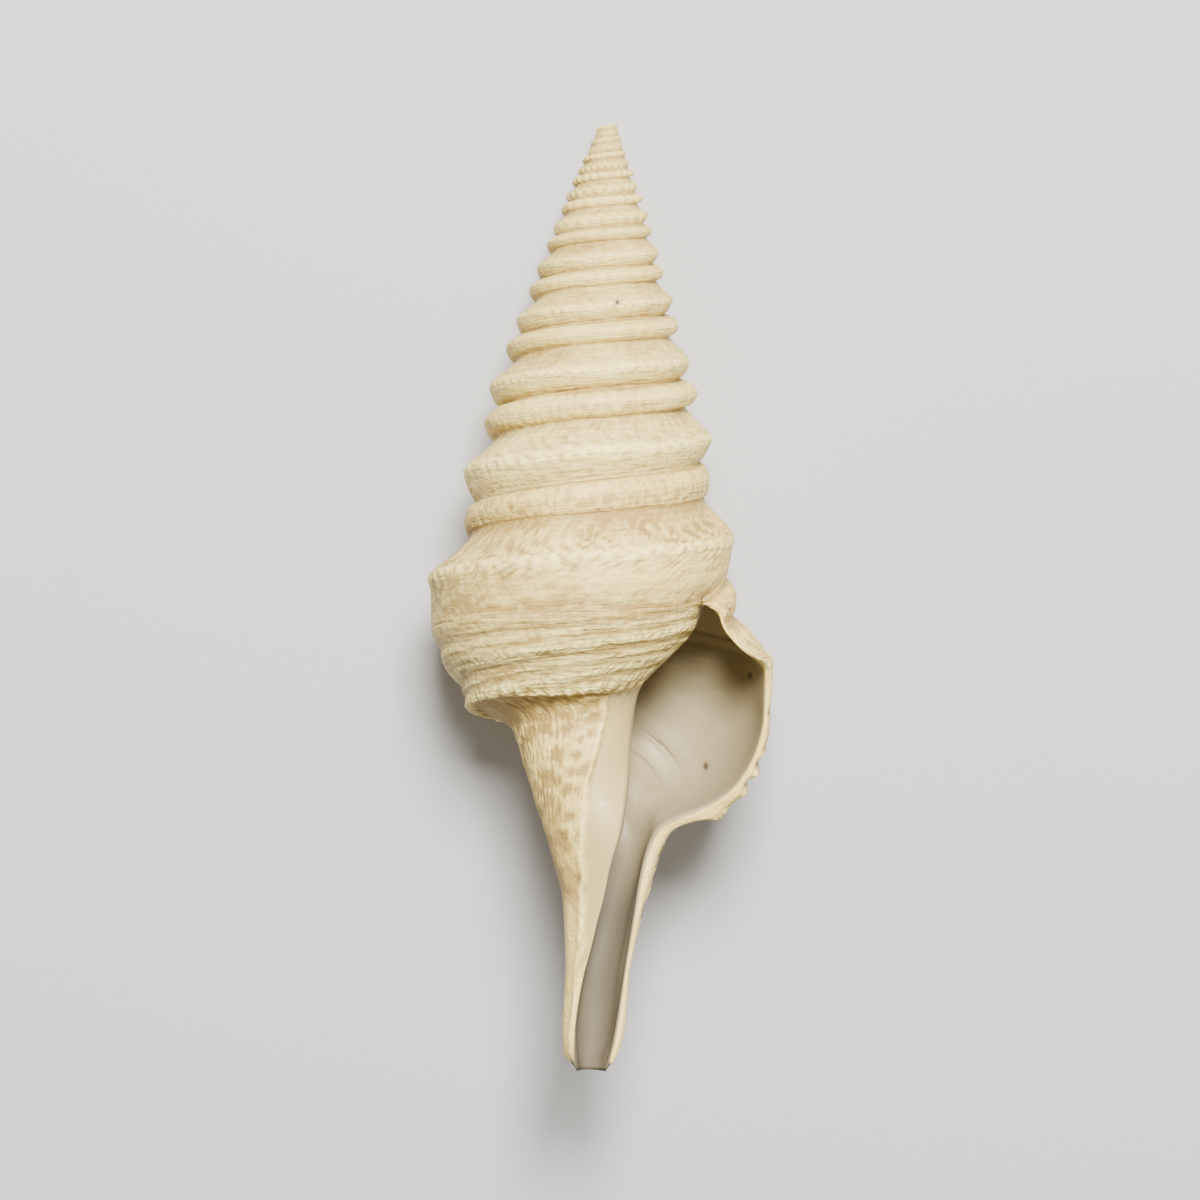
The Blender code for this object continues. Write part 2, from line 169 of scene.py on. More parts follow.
class ShapeSheet(NodeSheet):
    # a geometry tree whose inputs a user can set on the modifier

    def __init__(self, name, inputs):
        super().__init__(bpy.data.node_groups.new(name, "GeometryNodeTree"))
        kinds = {float: "NodeSocketFloat", bpy.types.Material: "NodeSocketMaterial"}
        sockets = self.tree.interface
        sockets.new_socket("Geometry", in_out="OUTPUT", socket_type="NodeSocketGeometry")
        sockets.new_socket("Geometry", in_out="INPUT", socket_type="NodeSocketGeometry")
        for name, value in inputs.items():
            sockets.new_socket(name, in_out="INPUT", socket_type=kinds[type(value)])
        given = self.node("NodeGroupInput")
        self.given = {socket.name: Field(self, socket) for socket in given.outputs if socket.name}
        self.shape = self.given["Geometry"]

    def attribute(self, name):
        return self.make("GeometryNodeInputNamedAttribute", {"Name": name}, data_type="FLOAT")

    def place(self):
        return self.make("GeometryNodeInputPosition", {})

    def setPlace(self, place=None, offset=None):
        inputs = {"Geometry": self.shape}
        if place is not None:
            inputs["Position"] = place
        if offset is not None:
            inputs["Offset"] = offset
        self.shape = self.make("GeometryNodeSetPosition", inputs)

    def store(self, name, value):
        inputs = {"Geometry": self.shape, "Name": name, "Value": value}
        self.shape = self.make("GeometryNodeStoreNamedAttribute", inputs, data_type="FLOAT", domain="POINT")

    def blurred(self, value, times, weight):
        inputs = {"Value": value, "Iterations": times, "Weight": weight}
        return self.make("GeometryNodeBlurAttribute", inputs, data_type="FLOAT_VECTOR")

    def paint(self, material, selection=True):
        inputs = {"Geometry": self.shape, "Selection": selection, "Material": material}
        self.shape = self.make("GeometryNodeSetMaterial", inputs)

    def end(self):
        out = self.node("NodeGroupOutput")
        self.plug(out.inputs[0], self.shape)


def shapedBy(sheet, mesh, inputs):
    # the mesh that the tree makes out of this one, as plain vertices and faces
    holder = bpy.data.objects.new("growing", mesh)
    bpy.context.scene.collection.objects.link(holder)
    modifier = holder.modifiers.new(sheet.tree.name, "NODES")
    modifier.node_group = sheet.tree
    for item in sheet.tree.interface.items_tree:
        if item.in_out == "INPUT" and item.name in inputs:
            modifier[item.identifier] = inputs[item.name]
    graph = bpy.context.evaluated_depsgraph_get()
    grown = holder.evaluated_get(graph)
    made = bpy.data.meshes.new_from_object(grown, preserve_all_data_layers=True, depsgraph=graph)
    bpy.data.objects.remove(holder)
    return made


# Curves through a few points, and meshes that carry values on their points.

def smoothStep(low, high, x):
    share = np.clip((np.asarray(x, float) - low) / (high - low), 0, 1)
    return share * share * (3 - 2 * share)


def curveThrough(points, x):
    # a smooth line through the points that never overshoots them
    px, py = np.array(points, float).T
    step = np.diff(px)
    slope = np.diff(py) / step
    both = slope[:-1] * slope[1:]
    bend = slope[:-1] + slope[1:]
    lean = np.zeros(len(px))
    lean[1:-1] = np.where(both > 0, 2 * both / np.where(both > 0, bend, 1), 0)
    lean[0], lean[-1] = slope[0], slope[-1]
    x = np.clip(np.asarray(x, float), px[0], px[-1])
    i = np.clip(np.searchsorted(px, x) - 1, 0, len(px) - 2)
    f = (x - px[i]) / step[i]
    ends = py[i] * (1 + 2 * f) * (1 - f) ** 2 + py[i + 1] * f * f * (3 - 2 * f)
    return ends + step[i] * f * (1 - f) * ((1 - f) * lean[i] - f * lean[i + 1])


def stitch(first, second, firstAt, secondAt):
    # a strip of triangles between two lines of points, kept level by where the points lie
    faces = []
    i = j = 0
    while i < len(first) - 1 or j < len(second) - 1:
        aheadFirst = firstAt[i + 1] if i < len(first) - 1 else math.inf
        aheadSecond = secondAt[j + 1] if j < len(second) - 1 else math.inf
        if aheadFirst <= aheadSecond:
            faces.append((first[i], first[i + 1], second[j]))
            i += 1
        else:
            faces.append((first[i], second[j + 1], second[j]))
            j += 1
    return [face for face in faces if len(set(face)) == 3]


def quads(here, there):
    # a strip of four-sided faces between two lines with as many points
    return [(here[k], there[k], there[k + 1], here[k + 1]) for k in range(min(len(here), len(there)) - 1)]


def meshWith(name, points, faces, values):
    mesh = bpy.data.meshes.new(name)
    mesh.from_pydata(points, [], faces)
    for label, numbers in values.items():
        layer = mesh.attributes.new(label, "FLOAT", "POINT")
        layer.data.foreach_set("value", np.asarray(numbers, np.float32))
    return mesh


def pointsOf(mesh):
    flat = np.zeros(len(mesh.vertices) * 3)
    mesh.vertices.foreach_get("co", flat)
    return flat.reshape(-1, 3)


# The outside: a net of rows and turns that the growth tree coils up.

coil = {
    "keelDrop": 29.8,  # drop of the keel at the lip
    "growth": 1.28,  # each turn is this much larger than the one before
    "lipAngle": 8.0,  # degrees round from the right side where the lip stands
    "canalEnd": 51.7,  # drop of the canal's end
    "canalSlant": 0.35,  # the end reaches this much lower on the left and less on the right
    "ledgeFall": 0.5,  # how quickly the base draws in to the neck
    "neckSpacing": 1.5,  # more than 1: the neck's rows lie closer under the ridge
    "spireEnd": -1.25,  # turn up to which the spire's outline holds
    "lipStart": -0.30,  # turn from which the lip's own shape comes in
    "startEnd": -0.30,  # turn at which the inner lip's shape has gone again
    "stepsByTurn": (90, 90, 90, 110, 130, 160, 200, 250, 320, 400),  # from the tip to the lip
    "coarseTurns": 5,  # the first turns have half the rows
    "whorlRows": 34,  # strips of faces from suture to suture
    "baseRows": 44,  # from the last suture to the ridge under the base
    "neckRows": 40,  # and from the ridge to the canal's end
    "tipHollow": 0.12,  # how much the worn tip's middle lies below its edge
}
# The oldest turns are worn down towards a plain cone.
tipWear = {
    "worn": -9.2,  # turn up to which they are worn
    "sharp": -7.4,  # turn from which they aren't
    "cone": 0.305,  # the cone's radius in shares of its drop
    "share": 0.85,  # how far the most worn turns have come to the cone
}
sutureRow = 9
ridgeRow = 16
leastCosine = -0.9  # keeps the inner edge's rows from running round to the shell's back
flatTurn = 10.0  # how wide a turn is on the flat net
# Outlines row by row, as (drop, radius) in shares of the keel's own drop: the spire, and the last
# whorl where it starts beside the inner lip, on the left, on the back, on the right and at the
# aperture's upper corner, where only the rows above the ramp differ from the right side's.
outlines = {
    "spire": [
        (0.842, 0.238), (0.850, 0.270), (0.878, 0.295), (0.905, 0.285), (0.922, 0.262),
        (0.955, 0.290), (0.985, 0.326), (1.010, 0.340), (1.050, 0.328), (1.078, 0.305),
    ],
    "front": [
        (0.842, 0.238), (0.850, 0.250), (0.878, 0.263), (0.905, 0.260), (0.922, 0.253),
        (0.955, 0.276), (0.985, 0.309), (1.010, 0.320), (1.060, 0.318), (1.136, 0.285),
        (1.150, 0.281), (1.166, 0.275), (1.186, 0.266), (1.218, 0.250), (1.252, 0.222),
        (1.292, 0.181), (1.322, 0.150),
    ],
    "left": [
        (0.850, 0.222), (0.858, 0.238), (0.883, 0.246), (0.902, 0.241), (0.914, 0.234),
        (0.950, 0.258), (0.985, 0.297), (1.003, 0.309), (1.040, 0.306), (1.083, 0.303),
        (1.105, 0.301), (1.140, 0.284), (1.170, 0.275), (1.188, 0.253), (1.212, 0.236),
        (1.238, 0.227), (1.250, 0.221),
    ],
    "back": [
        (0.846, 0.230), (0.856, 0.246), (0.886, 0.255), (0.904, 0.250), (0.917, 0.246),
        (0.950, 0.268), (0.985, 0.305), (1.002, 0.317), (1.040, 0.318), (1.083, 0.315),
        (1.105, 0.311), (1.138, 0.296), (1.165, 0.283), (1.185, 0.262), (1.207, 0.243),
        (1.225, 0.228), (1.238, 0.214),
    ],
    "right": [
        (0.859, 0.244), (0.872, 0.256), (0.900, 0.263), (0.913, 0.261), (0.925, 0.258),
        (0.953, 0.288), (0.985, 0.317), (1.000, 0.327), (1.045, 0.331), (1.085, 0.331),
        (1.104, 0.331), (1.142, 0.328), (1.176, 0.314), (1.209, 0.300), (1.236, 0.283),
        (1.262, 0.258), (1.275, 0.243),
    ],
    "corner": [(0.888, 0.222), (0.890, 0.237), (0.896, 0.249), (0.907, 0.257), (0.921, 0.258)],
}
# Where round the last whorl its outlines stand, in degrees on from the right side.
outlineDegrees = [
    ("front", coil["lipAngle"]), ("left", 180), ("back", 250), ("right", 360), ("corner", 390),
    ("corner", 396),
]
# Degrees by which each row of the lip stands ahead of the lip's plane: far up at the suture and on
# the ramp, where the lip draws back a little, not at the keel, and a little below it.
lipRows = [23, 20, 17, 15, 14, 18, 13, 3, 1, 4, 5, 5, 5, 4, 2, 0, 0]
# How much slimmer than a straight cone each turn of the spire is.
slimming = [
    (-10, 0.71), (-8.9, 0.79), (-7.7, 0.86), (-6.9, 0.92), (-5.9, 0.97), (-5.0, 1.0), (-2.2, 1.0),
    (-1.5, 0.94), (-1.0, 0.94),
]
# The neck and canal as (drop, distance from the axis) of their left and right sides.
neckLeft = [
    (29.0, 3.0), (33.0, 3.15), (34.2, 3.15), (35.4, 2.87), (37.4, 2.16), (39.2, 1.52), (41.1, 0.93),
    (42.5, 0.52), (44.6, 0.31), (46.8, 0.18), (48.8, 0.18), (50.6, 0.07), (51.6, -0.25), (53.0, -0.8),
]
neckRight = [
    (29.0, 3.0), (33.0, 3.0), (35.0, 3.15), (37.0, 3.75), (38.3, 4.35), (39.4, 4.6), (40.0, 4.45),
    (41.4, 4.14), (43.1, 3.73), (44.8, 3.46), (46.7, 3.19), (48.6, 3.15), (50.1, 3.0), (51.3, 2.6),
    (53.0, 2.2),
]
# The aperture's inner edge, from its upper corner down: (drop, distance to the right of the axis).
innerEdge = [
    (27.0, 5.60), (27.3, 5.70), (28.3, 5.62), (29.0, 5.20), (29.8, 4.35), (31.1, 3.10), (32.4, 2.72),
    (33.9, 2.55), (36.7, 2.50), (37.6, 2.44), (39.0, 2.34), (40.9, 1.90), (42.4, 1.70), (43.8, 1.38),
    (45.2, 1.14), (46.5, 0.82), (48.4, 0.55), (49.6, 0.45), (51.6, 0.50),
]


def keelAt(turn):
    return coil["keelDrop"] * coil["growth"] ** (turn + coil["lipAngle"] / 360)


def lastWhorlTable(name):
    # one outline of the last whorl, where the corner has the right side's lower rows
    table = np.array(outlines["right" if name == "corner" else name])
    table[: len(outlines[name])] = outlines[name]
    return table


def tableAt(turn):
    # the outline's points at one turn, in shares of the keel's own drop
    slim = np.array(outlines["spire"]) * [1, curveThrough(slimming, turn)]
    if turn < coil["spireEnd"]:
        worn = 1 - smoothStep(tipWear["worn"], tipWear["sharp"], turn)
        cone = tipWear["cone"] * slim[:, 0] * curveThrough(slimming, turn)
        slim[:, 1] += (cone - slim[:, 1]) * worn * tipWear["share"]
        return slim
    places = [coil["spireEnd"]]
    tables = [slim]
    for name, degrees in outlineDegrees:
        places.append((degrees - coil["lipAngle"]) / 360 - 1)
        tables.append(lastWhorlTable(name))
    number = min(np.searchsorted(places, turn, side="right") - 1, len(places) - 2)
    share = smoothStep(places[number], places[number + 1], turn)
    count = min(len(tables[number]), len(tables[number + 1]))
    return tables[number][:count] + (tables[number + 1][:count] - tables[number][:count]) * share


def leadsAt(turn):
    # degrees by which each row stands ahead at one turn: at the lip, and at the aperture's inner edge
    lip = np.array(lipRows, float)
    if turn < -1 - 1e-6:
        leads = np.zeros(sutureRow + 1)
        leads[sutureRow] = lip[0] * smoothStep(coil["lipStart"], 0, turn + 1)
        leads[sutureRow - 1] = leads[sutureRow] / 2
        return leads
    atLip = lip * smoothStep(coil["lipStart"], 0, turn)
    return atLip + startRows * (1 - smoothStep(-1, coil["startEnd"], turn))


def outlineAt(turn, leads):
    # drop and radius of each row at one turn, in shares of the keel where that row then is
    rows = []
    for row, lead in enumerate(leads):
        here = turn + lead / 360
        if row == sutureRow and turn < -1 + 1e-6:
            rows.append(tableAt(here + 1)[0] * coil["growth"])
        else:
            rows.append(tableAt(here)[row])
    return np.array(rows)


def neckCircle(drop):
    # centre and radius of the neck's round section
    left, right = curveThrough(neckLeft, drop), curveThrough(neckRight, drop)
    return (right - left) / 2, (right + left) / 2


def neckBelow(turn, ridge, ridgeRadius):
    # drop, centre and radius down the neck below the ridge at one turn
    end = coil["canalEnd"] - coil["canalSlant"] * math.cos(math.radians(coil["lipAngle"] + 360 * turn))
    neck = np.linspace(0, 1, coil["neckRows"] + 1)[1:]
    drop = ridge + (end - ridge) * neck ** coil["neckSpacing"]
    centre, radius = neckCircle(drop)
    ledge = np.exp((ridge - drop) / coil["ledgeFall"])
    return neck, drop, centre * (1 - ledge), radius + (ridgeRadius - neckCircle(ridge)[1]) * ledge


def findStartRows():
    # where the outside has to start, row by row, to begin at the aperture's inner edge
    leads = np.zeros(ridgeRow + 1)
    leads[sutureRow] = lipRows[0]
    leads[sutureRow - 1] = lipRows[0] / 2
    for attempt in range(8):
        table = outlineAt(-1, leads)
        for row in range(sutureRow + 1, ridgeRow + 1):
            drop, radius = table[row] * keelAt(-1 + leads[row] / 360)
            reach = np.clip(curveThrough(innerEdge, drop) / radius, leastCosine, 1)
            leads[row] = max(math.degrees(math.acos(reach)) - coil["lipAngle"], 0)
    return leads


startRows = findStartRows()


def rowsAt(turn):
    # what the growth tree needs to know of each row of one turn
    leads = leadsAt(turn)
    table = outlineAt(turn, leads)
    count = coil["whorlRows"] // 2 if turn < -coil["coarseTurns"] - 1e-6 else coil["whorlRows"]
    row = np.linspace(0, sutureRow, count + 1)
    if turn > -1 - 1e-6:
        row = np.append(row, np.linspace(sutureRow, ridgeRow, coil["baseRows"] + 1)[1:])
    numbers = np.arange(len(table))
    place = curveThrough(np.stack([numbers, table[:, 0]], axis=1), row)
    reach = curveThrough(np.stack([numbers, table[:, 1]], axis=1), row)
    lead = curveThrough(np.stack([numbers, leads], axis=1), row)
    lipShape = curveThrough(np.stack([np.arange(ridgeRow + 1), lipRows], axis=1), row)
    nothing = np.zeros(len(row))
    rows = {
        "row": row, "place": place, "reach": reach, "lead": lead, "age": turn + (lead - lipShape) / 360,
        "ownDrop": nothing, "ownRadius": nothing, "centre": nothing, "neck": nothing,
    }
    if turn < -1 - 1e-6:
        return rows
    keel = keelAt(turn + lead[-1] / 360)
    neck, drop, centre, radius = neckBelow(turn, place[-1] * keel, reach[-1] * keel)
    none = np.zeros(len(neck))
    ahead = np.full(len(neck), lead[-1])
    startShare = float(1 - smoothStep(-1, coil["startEnd"], turn))
    if startShare > 0:
        # the neck's rows begin at the inner edge too
        reachOut = np.clip((curveThrough(innerEdge, drop) - centre) / radius, leastCosine, 1)
        atStart = np.degrees(np.arccos(reachOut)) - coil["lipAngle"]
        ahead = lead[-1] * (1 - startShare) + atStart * startShare
    more = {
        "row": ridgeRow + 4 * neck, "place": none, "reach": none, "lead": ahead, "age": turn + ahead / 360,
        "ownDrop": drop, "ownRadius": radius, "centre": centre, "neck": neck,
    }
    return {name: np.append(rows[name], more[name]) for name in rows}


def makeNet():
    # flat net of the outside: its points know their turn and row, and neighbouring turns share
    # the points of the suture between them
    turns = []
    for number, steps in enumerate(coil["stepsByTurn"]):
        first = number - len(coil["stepsByTurn"])
        turns += [first + step / steps for step in range(steps)]
    turns.append(0.0)
    values = {}
    columns = []
    sutures = []
    count = 0
    for turn in turns:
        rows = rowsAt(turn)
        rows["turn"] = np.full(len(rows["row"]), turn)
        top = []
        if turn > turns[0] + 1 - 1e-6:
            rows = {name: numbers[1:] for name, numbers in rows.items()}
            top = [None]
        ids = top + list(range(count, count + len(rows["row"])))
        count += len(rows["row"])
        for name, numbers in rows.items():
            values.setdefault(name, []).append(numbers)
        columns.append(ids)
        if turn < -1 + 1e-6:
            whorl = coil["whorlRows"]
            sutures.append(ids[whorl // 2 if turn < -coil["coarseTurns"] - 1e-6 else whorl])
    firstTurn = coil["stepsByTurn"][0]
    columns[firstTurn][0] = sutures[0]
    columns[-1][0] = sutures[-1]
    faces = []
    for number in range(len(columns) - 1):
        here, there = columns[number], columns[number + 1]
        if number >= firstTurn:
            here, there = here[1:], there[1:]
        if len(here) < len(there) and turns[number + 1] < -1:
            faces += stitch(here, there, np.linspace(0, 1, len(here)), np.linspace(0, 1, len(there)))
        else:
            faces += quads(here, there)
    below = [ids[1] for ids in columns[firstTurn:]]
    above = [turn + 1 for turn in turns[: len(sutures)]]
    faces += stitch(sutures, below, above, turns[firstTurn:])
    # the worn tip, closed round a middle point
    rim = [ids[0] for ids in columns[: firstTurn + 1]]
    tip = count
    faces += [(rim[k + 1], rim[k], tip) for k in range(firstTurn)]
    side = columns[0]
    faces += [(side[k], side[k + 1], tip) for k in range(len(side) - 1)]
    tipDrop = outlines["spire"][0][0] * keelAt(turns[0])
    tipValues = {"turn": turns[0], "ownDrop": tipDrop + coil["tipHollow"]}
    for name in values:
        values[name].append([tipValues.get(name, 0.0)])
    values = {name: np.concatenate(parts) for name, parts in values.items()}
    flat = np.stack([values["turn"] * flatTurn, -values["row"], values["neck"]], axis=1)
    lastTurn = coil["stepsByTurn"][-1]
    lip = columns[-1]
    start = columns[-1 - lastTurn][coil["whorlRows"]:]
    ends = [ids[-1] for ids in columns[-1 - lastTurn:]]
    return meshWith("net", flat.tolist(), faces, values), lip, start, ends


def growthSheet(inputs):
    # coils the net: every length grows by the same share each turn
    sheet = ShapeSheet("shell growth", inputs)
    turn = sheet.attribute("turn") + sheet.attribute("lead") / 360.0
    size = sheet.sum("POWER", sheet.given["Growth"], turn + sheet.given["Lip Angle"] / 360.0)
    keel = sheet.given["Keel Drop"] * size
    drop = sheet.attribute("place") * keel + sheet.attribute("ownDrop")
    radius = sheet.attribute("reach") * keel + sheet.attribute("ownRadius")
    degrees = sheet.given["Lip Angle"] + turn * 360.0
    angle = degrees * (math.pi / 180)
    x = sheet.attribute("centre") + radius * sheet.cosine(angle)
    sheet.setPlace(place=sheet.vector(x, drop * -1.0, radius * sheet.sine(angle)))
    sheet.end()
    return sheet


net, lipLine, startLine, endLine = makeNet()
growth = {"Keel Drop": coil["keelDrop"], "Growth": coil["growth"], "Lip Angle": coil["lipAngle"]}
outside = shapedBy(growthSheet(growth), net, growth)
print("outside grown,", len(outside.polygons), "faces")


# The mouth: the hollow behind the lip, the columella and the canal's floor.

mouth = {
    "steps": 60,  # from the lip back, round the columella and forward to the inner lip
    "rows": 120,
    "rowSpacing": 1.15,  # more than 1: rows lie closer near the upper corner
    "stepSpacing": 1.6,  # more than 1: steps lie closer far back
    "crossing": 0.16,  # share of the steps, before and after the middle one, that cross the hollow
    "taper": 0.40,  # share of its width that the hollow has lost half a turn back
    "wall": 0.40,  # least thickness of the shell away from its edges
    "wallSoftness": 0.25,  # how gently the hollow is drawn in to keep that thickness
    "wallBehind": (2, 25),  # degrees behind the lip over which the least thickness comes in
    "aheadOfLip": 40,  # degrees ahead of the lip that still count as the lip
    "canalWall": 0.55,  # thickness under the canal's floor
    "canalDrops": (35.0, 41.5),  # drops over which the whorl's hollow turns into the canal
    "pillarDrops": (31, 36),  # drops over which the columella stands clear of the inner edge
    "pillarBehind": 60,  # degrees behind the inner edge at which the columella has its own radius
    "floorSteps": 0.6,  # share of the steps on the canal's floor, before they climb the columella
    "floorReached": 0.5,  # share of the floor by which it is at full depth
    "floorRadius": 0.3,  # least radius of the canal's floor
    "floorOverlap": 0.05,  # how far the floor reaches beyond the inner edge
    "floorCosines": (-0.9, 0.95),  # cosines of the angles between which the floor's far end stays
    "lipLayers": 4,  # faces across the lip's thickness
    "lipBulge": 0.04,  # how far the lip's edge is rounded
    "lipBlur": 2,  # steps over which the relief rounds the lip's edge
    "innerBlur": 3,  # and the inner lip
}
sectionStep = 2  # degrees between the sections of the outside that the hollow keeps inside
pastColumella = 400.0  # stands for the degrees behind the lip on the columella's own side
noGlaze = -9.0  # stands for the distance from the glaze's edge away from the neck's front
# The aperture's outer edge, from its upper corner down: (drop, distance to the right of the axis).
lipEdge = [
    (27.2, 6.15), (27.3, 6.45), (27.45, 6.70), (27.8, 6.86), (28.2, 6.98), (28.9, 7.60), (29.6, 8.42),
    (29.9, 9.02), (30.15, 9.36), (32.6, 9.46), (34.5, 9.08), (36.2, 8.20), (37.4, 6.85), (38.3, 4.90),
    (38.9, 4.15), (40.9, 3.55), (43.5, 3.25), (45.7, 3.00), (48.0, 2.74), (49.8, 2.52), (51.6, 2.20),
]
# Where the smooth glaze on the neck ends on the left: (drop, distance to the right of the axis).
glazeEdge = [
    (29.0, 1.60), (32.0, 1.455), (34.0, 1.265), (36.0, 0.80), (37.6, 0.588), (39.7, 0.606), (41.8, 0.783),
    (45.3, 0.815), (52.0, 0.30),
]
# How many degrees the hollow runs back behind the lip, and the columella's radius, at each drop.
hollowDepth = [(27.0, 200), (32.0, 190), (34.5, 140), (36.5, 105), (38.5, 85), (41.5, 70), (53.0, 66)]
columella = [(24.0, 3.0), (33.0, 2.45), (36.0, 2.0), (38.0, 1.6), (40.0, 1.3), (53.0, 0.4)]


def outsideSections():
    # drop, centre and radius of the outside every few degrees behind the lip
    sections = []
    for degrees in range(0, 360 + sectionStep, sectionStep):
        turn = -degrees / 360
        table = tableAt(turn) * keelAt(turn)
        neck, drop, centre, radius = neckBelow(turn, *table[-1])
        sections.append((np.append(table[:, 0], drop), np.append(table[:, 0] * 0, centre),
                         np.append(table[:, 1], radius)))
    return sections


def keptInside(sections, place, behind):
    # draws a point of the hollow in where the wall outside it would be too thin
    x, drop, z = place[0], -place[1], place[2]
    ahead = mouth["aheadOfLip"]
    degrees = (coil["lipAngle"] - math.degrees(math.atan2(z, x)) + ahead) % 360 - ahead
    drops, centres, radii = sections[int(min(max(degrees, 0), 360) / sectionStep)]
    wall = mouth["wall"]
    centre = np.interp(drop, drops, centres)
    limit = min(np.interp([drop, drop + wall], drops, radii)) - wall
    away = math.hypot(x - centre, z)
    softened = (away + limit - math.hypot(away - limit, mouth["wallSoftness"])) / 2
    share = 1 + (softened / away - 1) * float(smoothStep(*mouth["wallBehind"], behind))
    return [centre + (x - centre) * share, place[1], z * share]


def whorlHollow(step, drop, behind, outer, inner, whorl):
    # one line of the hollow in the whorl: the aperture's outline turned back and shrunk
    across = 0.5 + 0.5 * math.sin(math.pi / 2 * np.clip((step - 0.5) / mouth["crossing"], -1, 1))
    shrink = coil["growth"] ** (-behind / 360 * whorl)
    innerR = np.hypot(*inner)
    pillar = curveThrough(columella, drop)
    pillar = pillar + (innerR - pillar) * (1 - smoothStep(*mouth["pillarDrops"], drop))
    innerR = (innerR + (pillar - innerR) * smoothStep(0, mouth["pillarBehind"], behind)) * shrink
    width = (np.hypot(*outer) * shrink - innerR) * (1 - mouth["taper"] * behind / 180)
    radius = innerR + width * (1 - across)
    outerAngle = np.arctan2(outer[1], outer[0])
    innerAngle = np.arctan2(inner[1], inner[0])
    turned = outerAngle + (innerAngle - outerAngle) * across - np.radians(behind)
    return np.stack([radius * np.cos(turned), -drop * shrink, radius * np.sin(turned)], axis=1)


def canalHollow(step, drop, outer, inner):
    # one line of the hollow in the canal: along the wall to the floor, then up the columella's side
    centre, neck = neckCircle(drop)
    wallAngle = np.arctan2(outer[1], outer[0] - centre)
    wallR = np.hypot(outer[1], outer[0] - centre)
    floorR = np.maximum(neck - mouth["canalWall"], mouth["floorRadius"])
    floorEnd = (inner[0] + mouth["floorOverlap"] - centre) / floorR
    floorAngle = -np.arccos(np.clip(floorEnd, *mouth["floorCosines"]))
    floorSteps = mouth["floorSteps"]
    along = min(step / floorSteps, 1)
    arc = wallAngle + (floorAngle - wallAngle) * along
    arcR = wallR + (floorR - wallR) * smoothStep(0, mouth["floorReached"], along)
    rise = max((step - floorSteps) / (1 - floorSteps), 0)
    x = centre + arcR * np.cos(arc)
    z = arcR * np.sin(arc)
    x = x + (inner[0] - x) * rise
    z = z + (inner[1] - z) * rise
    return np.stack([x, -drop, z], axis=1)


def hollowRows(step, lip, edge, sections):
    # points down the hollow at one step round it: 0 at the lip, 1 at the inner lip
    share = np.linspace(0, 1, mouth["rows"] + 1) ** mouth["rowSpacing"]
    drop = lipEdge[0][0] + (coil["canalEnd"] - lipEdge[0][0]) * share
    outer = [curveThrough(lipEdge, drop), np.interp(drop, -lip[:, 1], lip[:, 2])]
    inner = [np.interp(drop, -edge[:, 1], edge[:, axis]) for axis in (0, 2)]
    inner[0][0], inner[1][0] = outer[0][0], outer[1][0]
    back = 1 - abs(2 * step - 1) ** mouth["stepSpacing"]
    behind = back * curveThrough(hollowDepth, drop)
    whorl = 1 - smoothStep(*mouth["canalDrops"], drop)
    inWhorl = whorlHollow(step, drop, behind, outer, inner, whorl)
    inCanal = canalHollow(step, drop, outer, inner)
    places = inWhorl * whorl[:, None] + inCanal * (1 - whorl[:, None])
    return np.array([keptInside(sections, *pair) for pair in zip(places, behind)]), drop, behind


def lipLines(lip, innerLine):
    # lines across the lip's thickness, between the outside and the hollow
    level = [np.interp(-innerLine[:, 1], -lip[:, 1], lip[:, axis]) for axis in range(3)]
    outerLine = np.stack(level, axis=1)
    lines = []
    for layer in range(1, mouth["lipLayers"]):
        share = layer / mouth["lipLayers"]
        line = outerLine + (innerLine - outerLine) * share
        line[:, 2] += mouth["lipBulge"] * math.sin(math.pi * share)
        lines.append(line)
    return lines


def insidePoints(count, layers, rounds):
    # the new points, numbered from count on: one (point, rim, lip face, lip drop, degrees behind)
    # for each, and the numbers along each line of the lip's edge and of the hollow
    steps = mouth["steps"]
    lipDrops = rounds[0][1]
    inside = []
    rimIds = []
    for line in layers:
        first = count + len(inside)
        rimIds.append(list(range(first, first + len(line))))
        inside += [(point, 1.0, 1.0, lipDrops[row], 0.0) for row, point in enumerate(line)]
    hollowIds = []
    for number, (line, drops, behind) in enumerate(rounds):
        nearLip = max(0.0, 1 - number / mouth["lipBlur"])
        nearInner = max(0.0, 1 - (steps - 1 - number) / mouth["innerBlur"])
        ids = []
        for row, point in enumerate(line):
            if row == 0 and number > steps - number:
                # the hollow ends in a crease at its top, where its way forward meets its way back
                ids.append(hollowIds[steps - number][0])
                continue
            degrees = behind[row] if number <= steps / 2 else pastColumella
            ids.append(count + len(inside))
            inside.append((point, max(nearLip, nearInner), 0.0, lipDrops[row], degrees))
        hollowIds.append(ids)
    return inside, rimIds, hollowIds


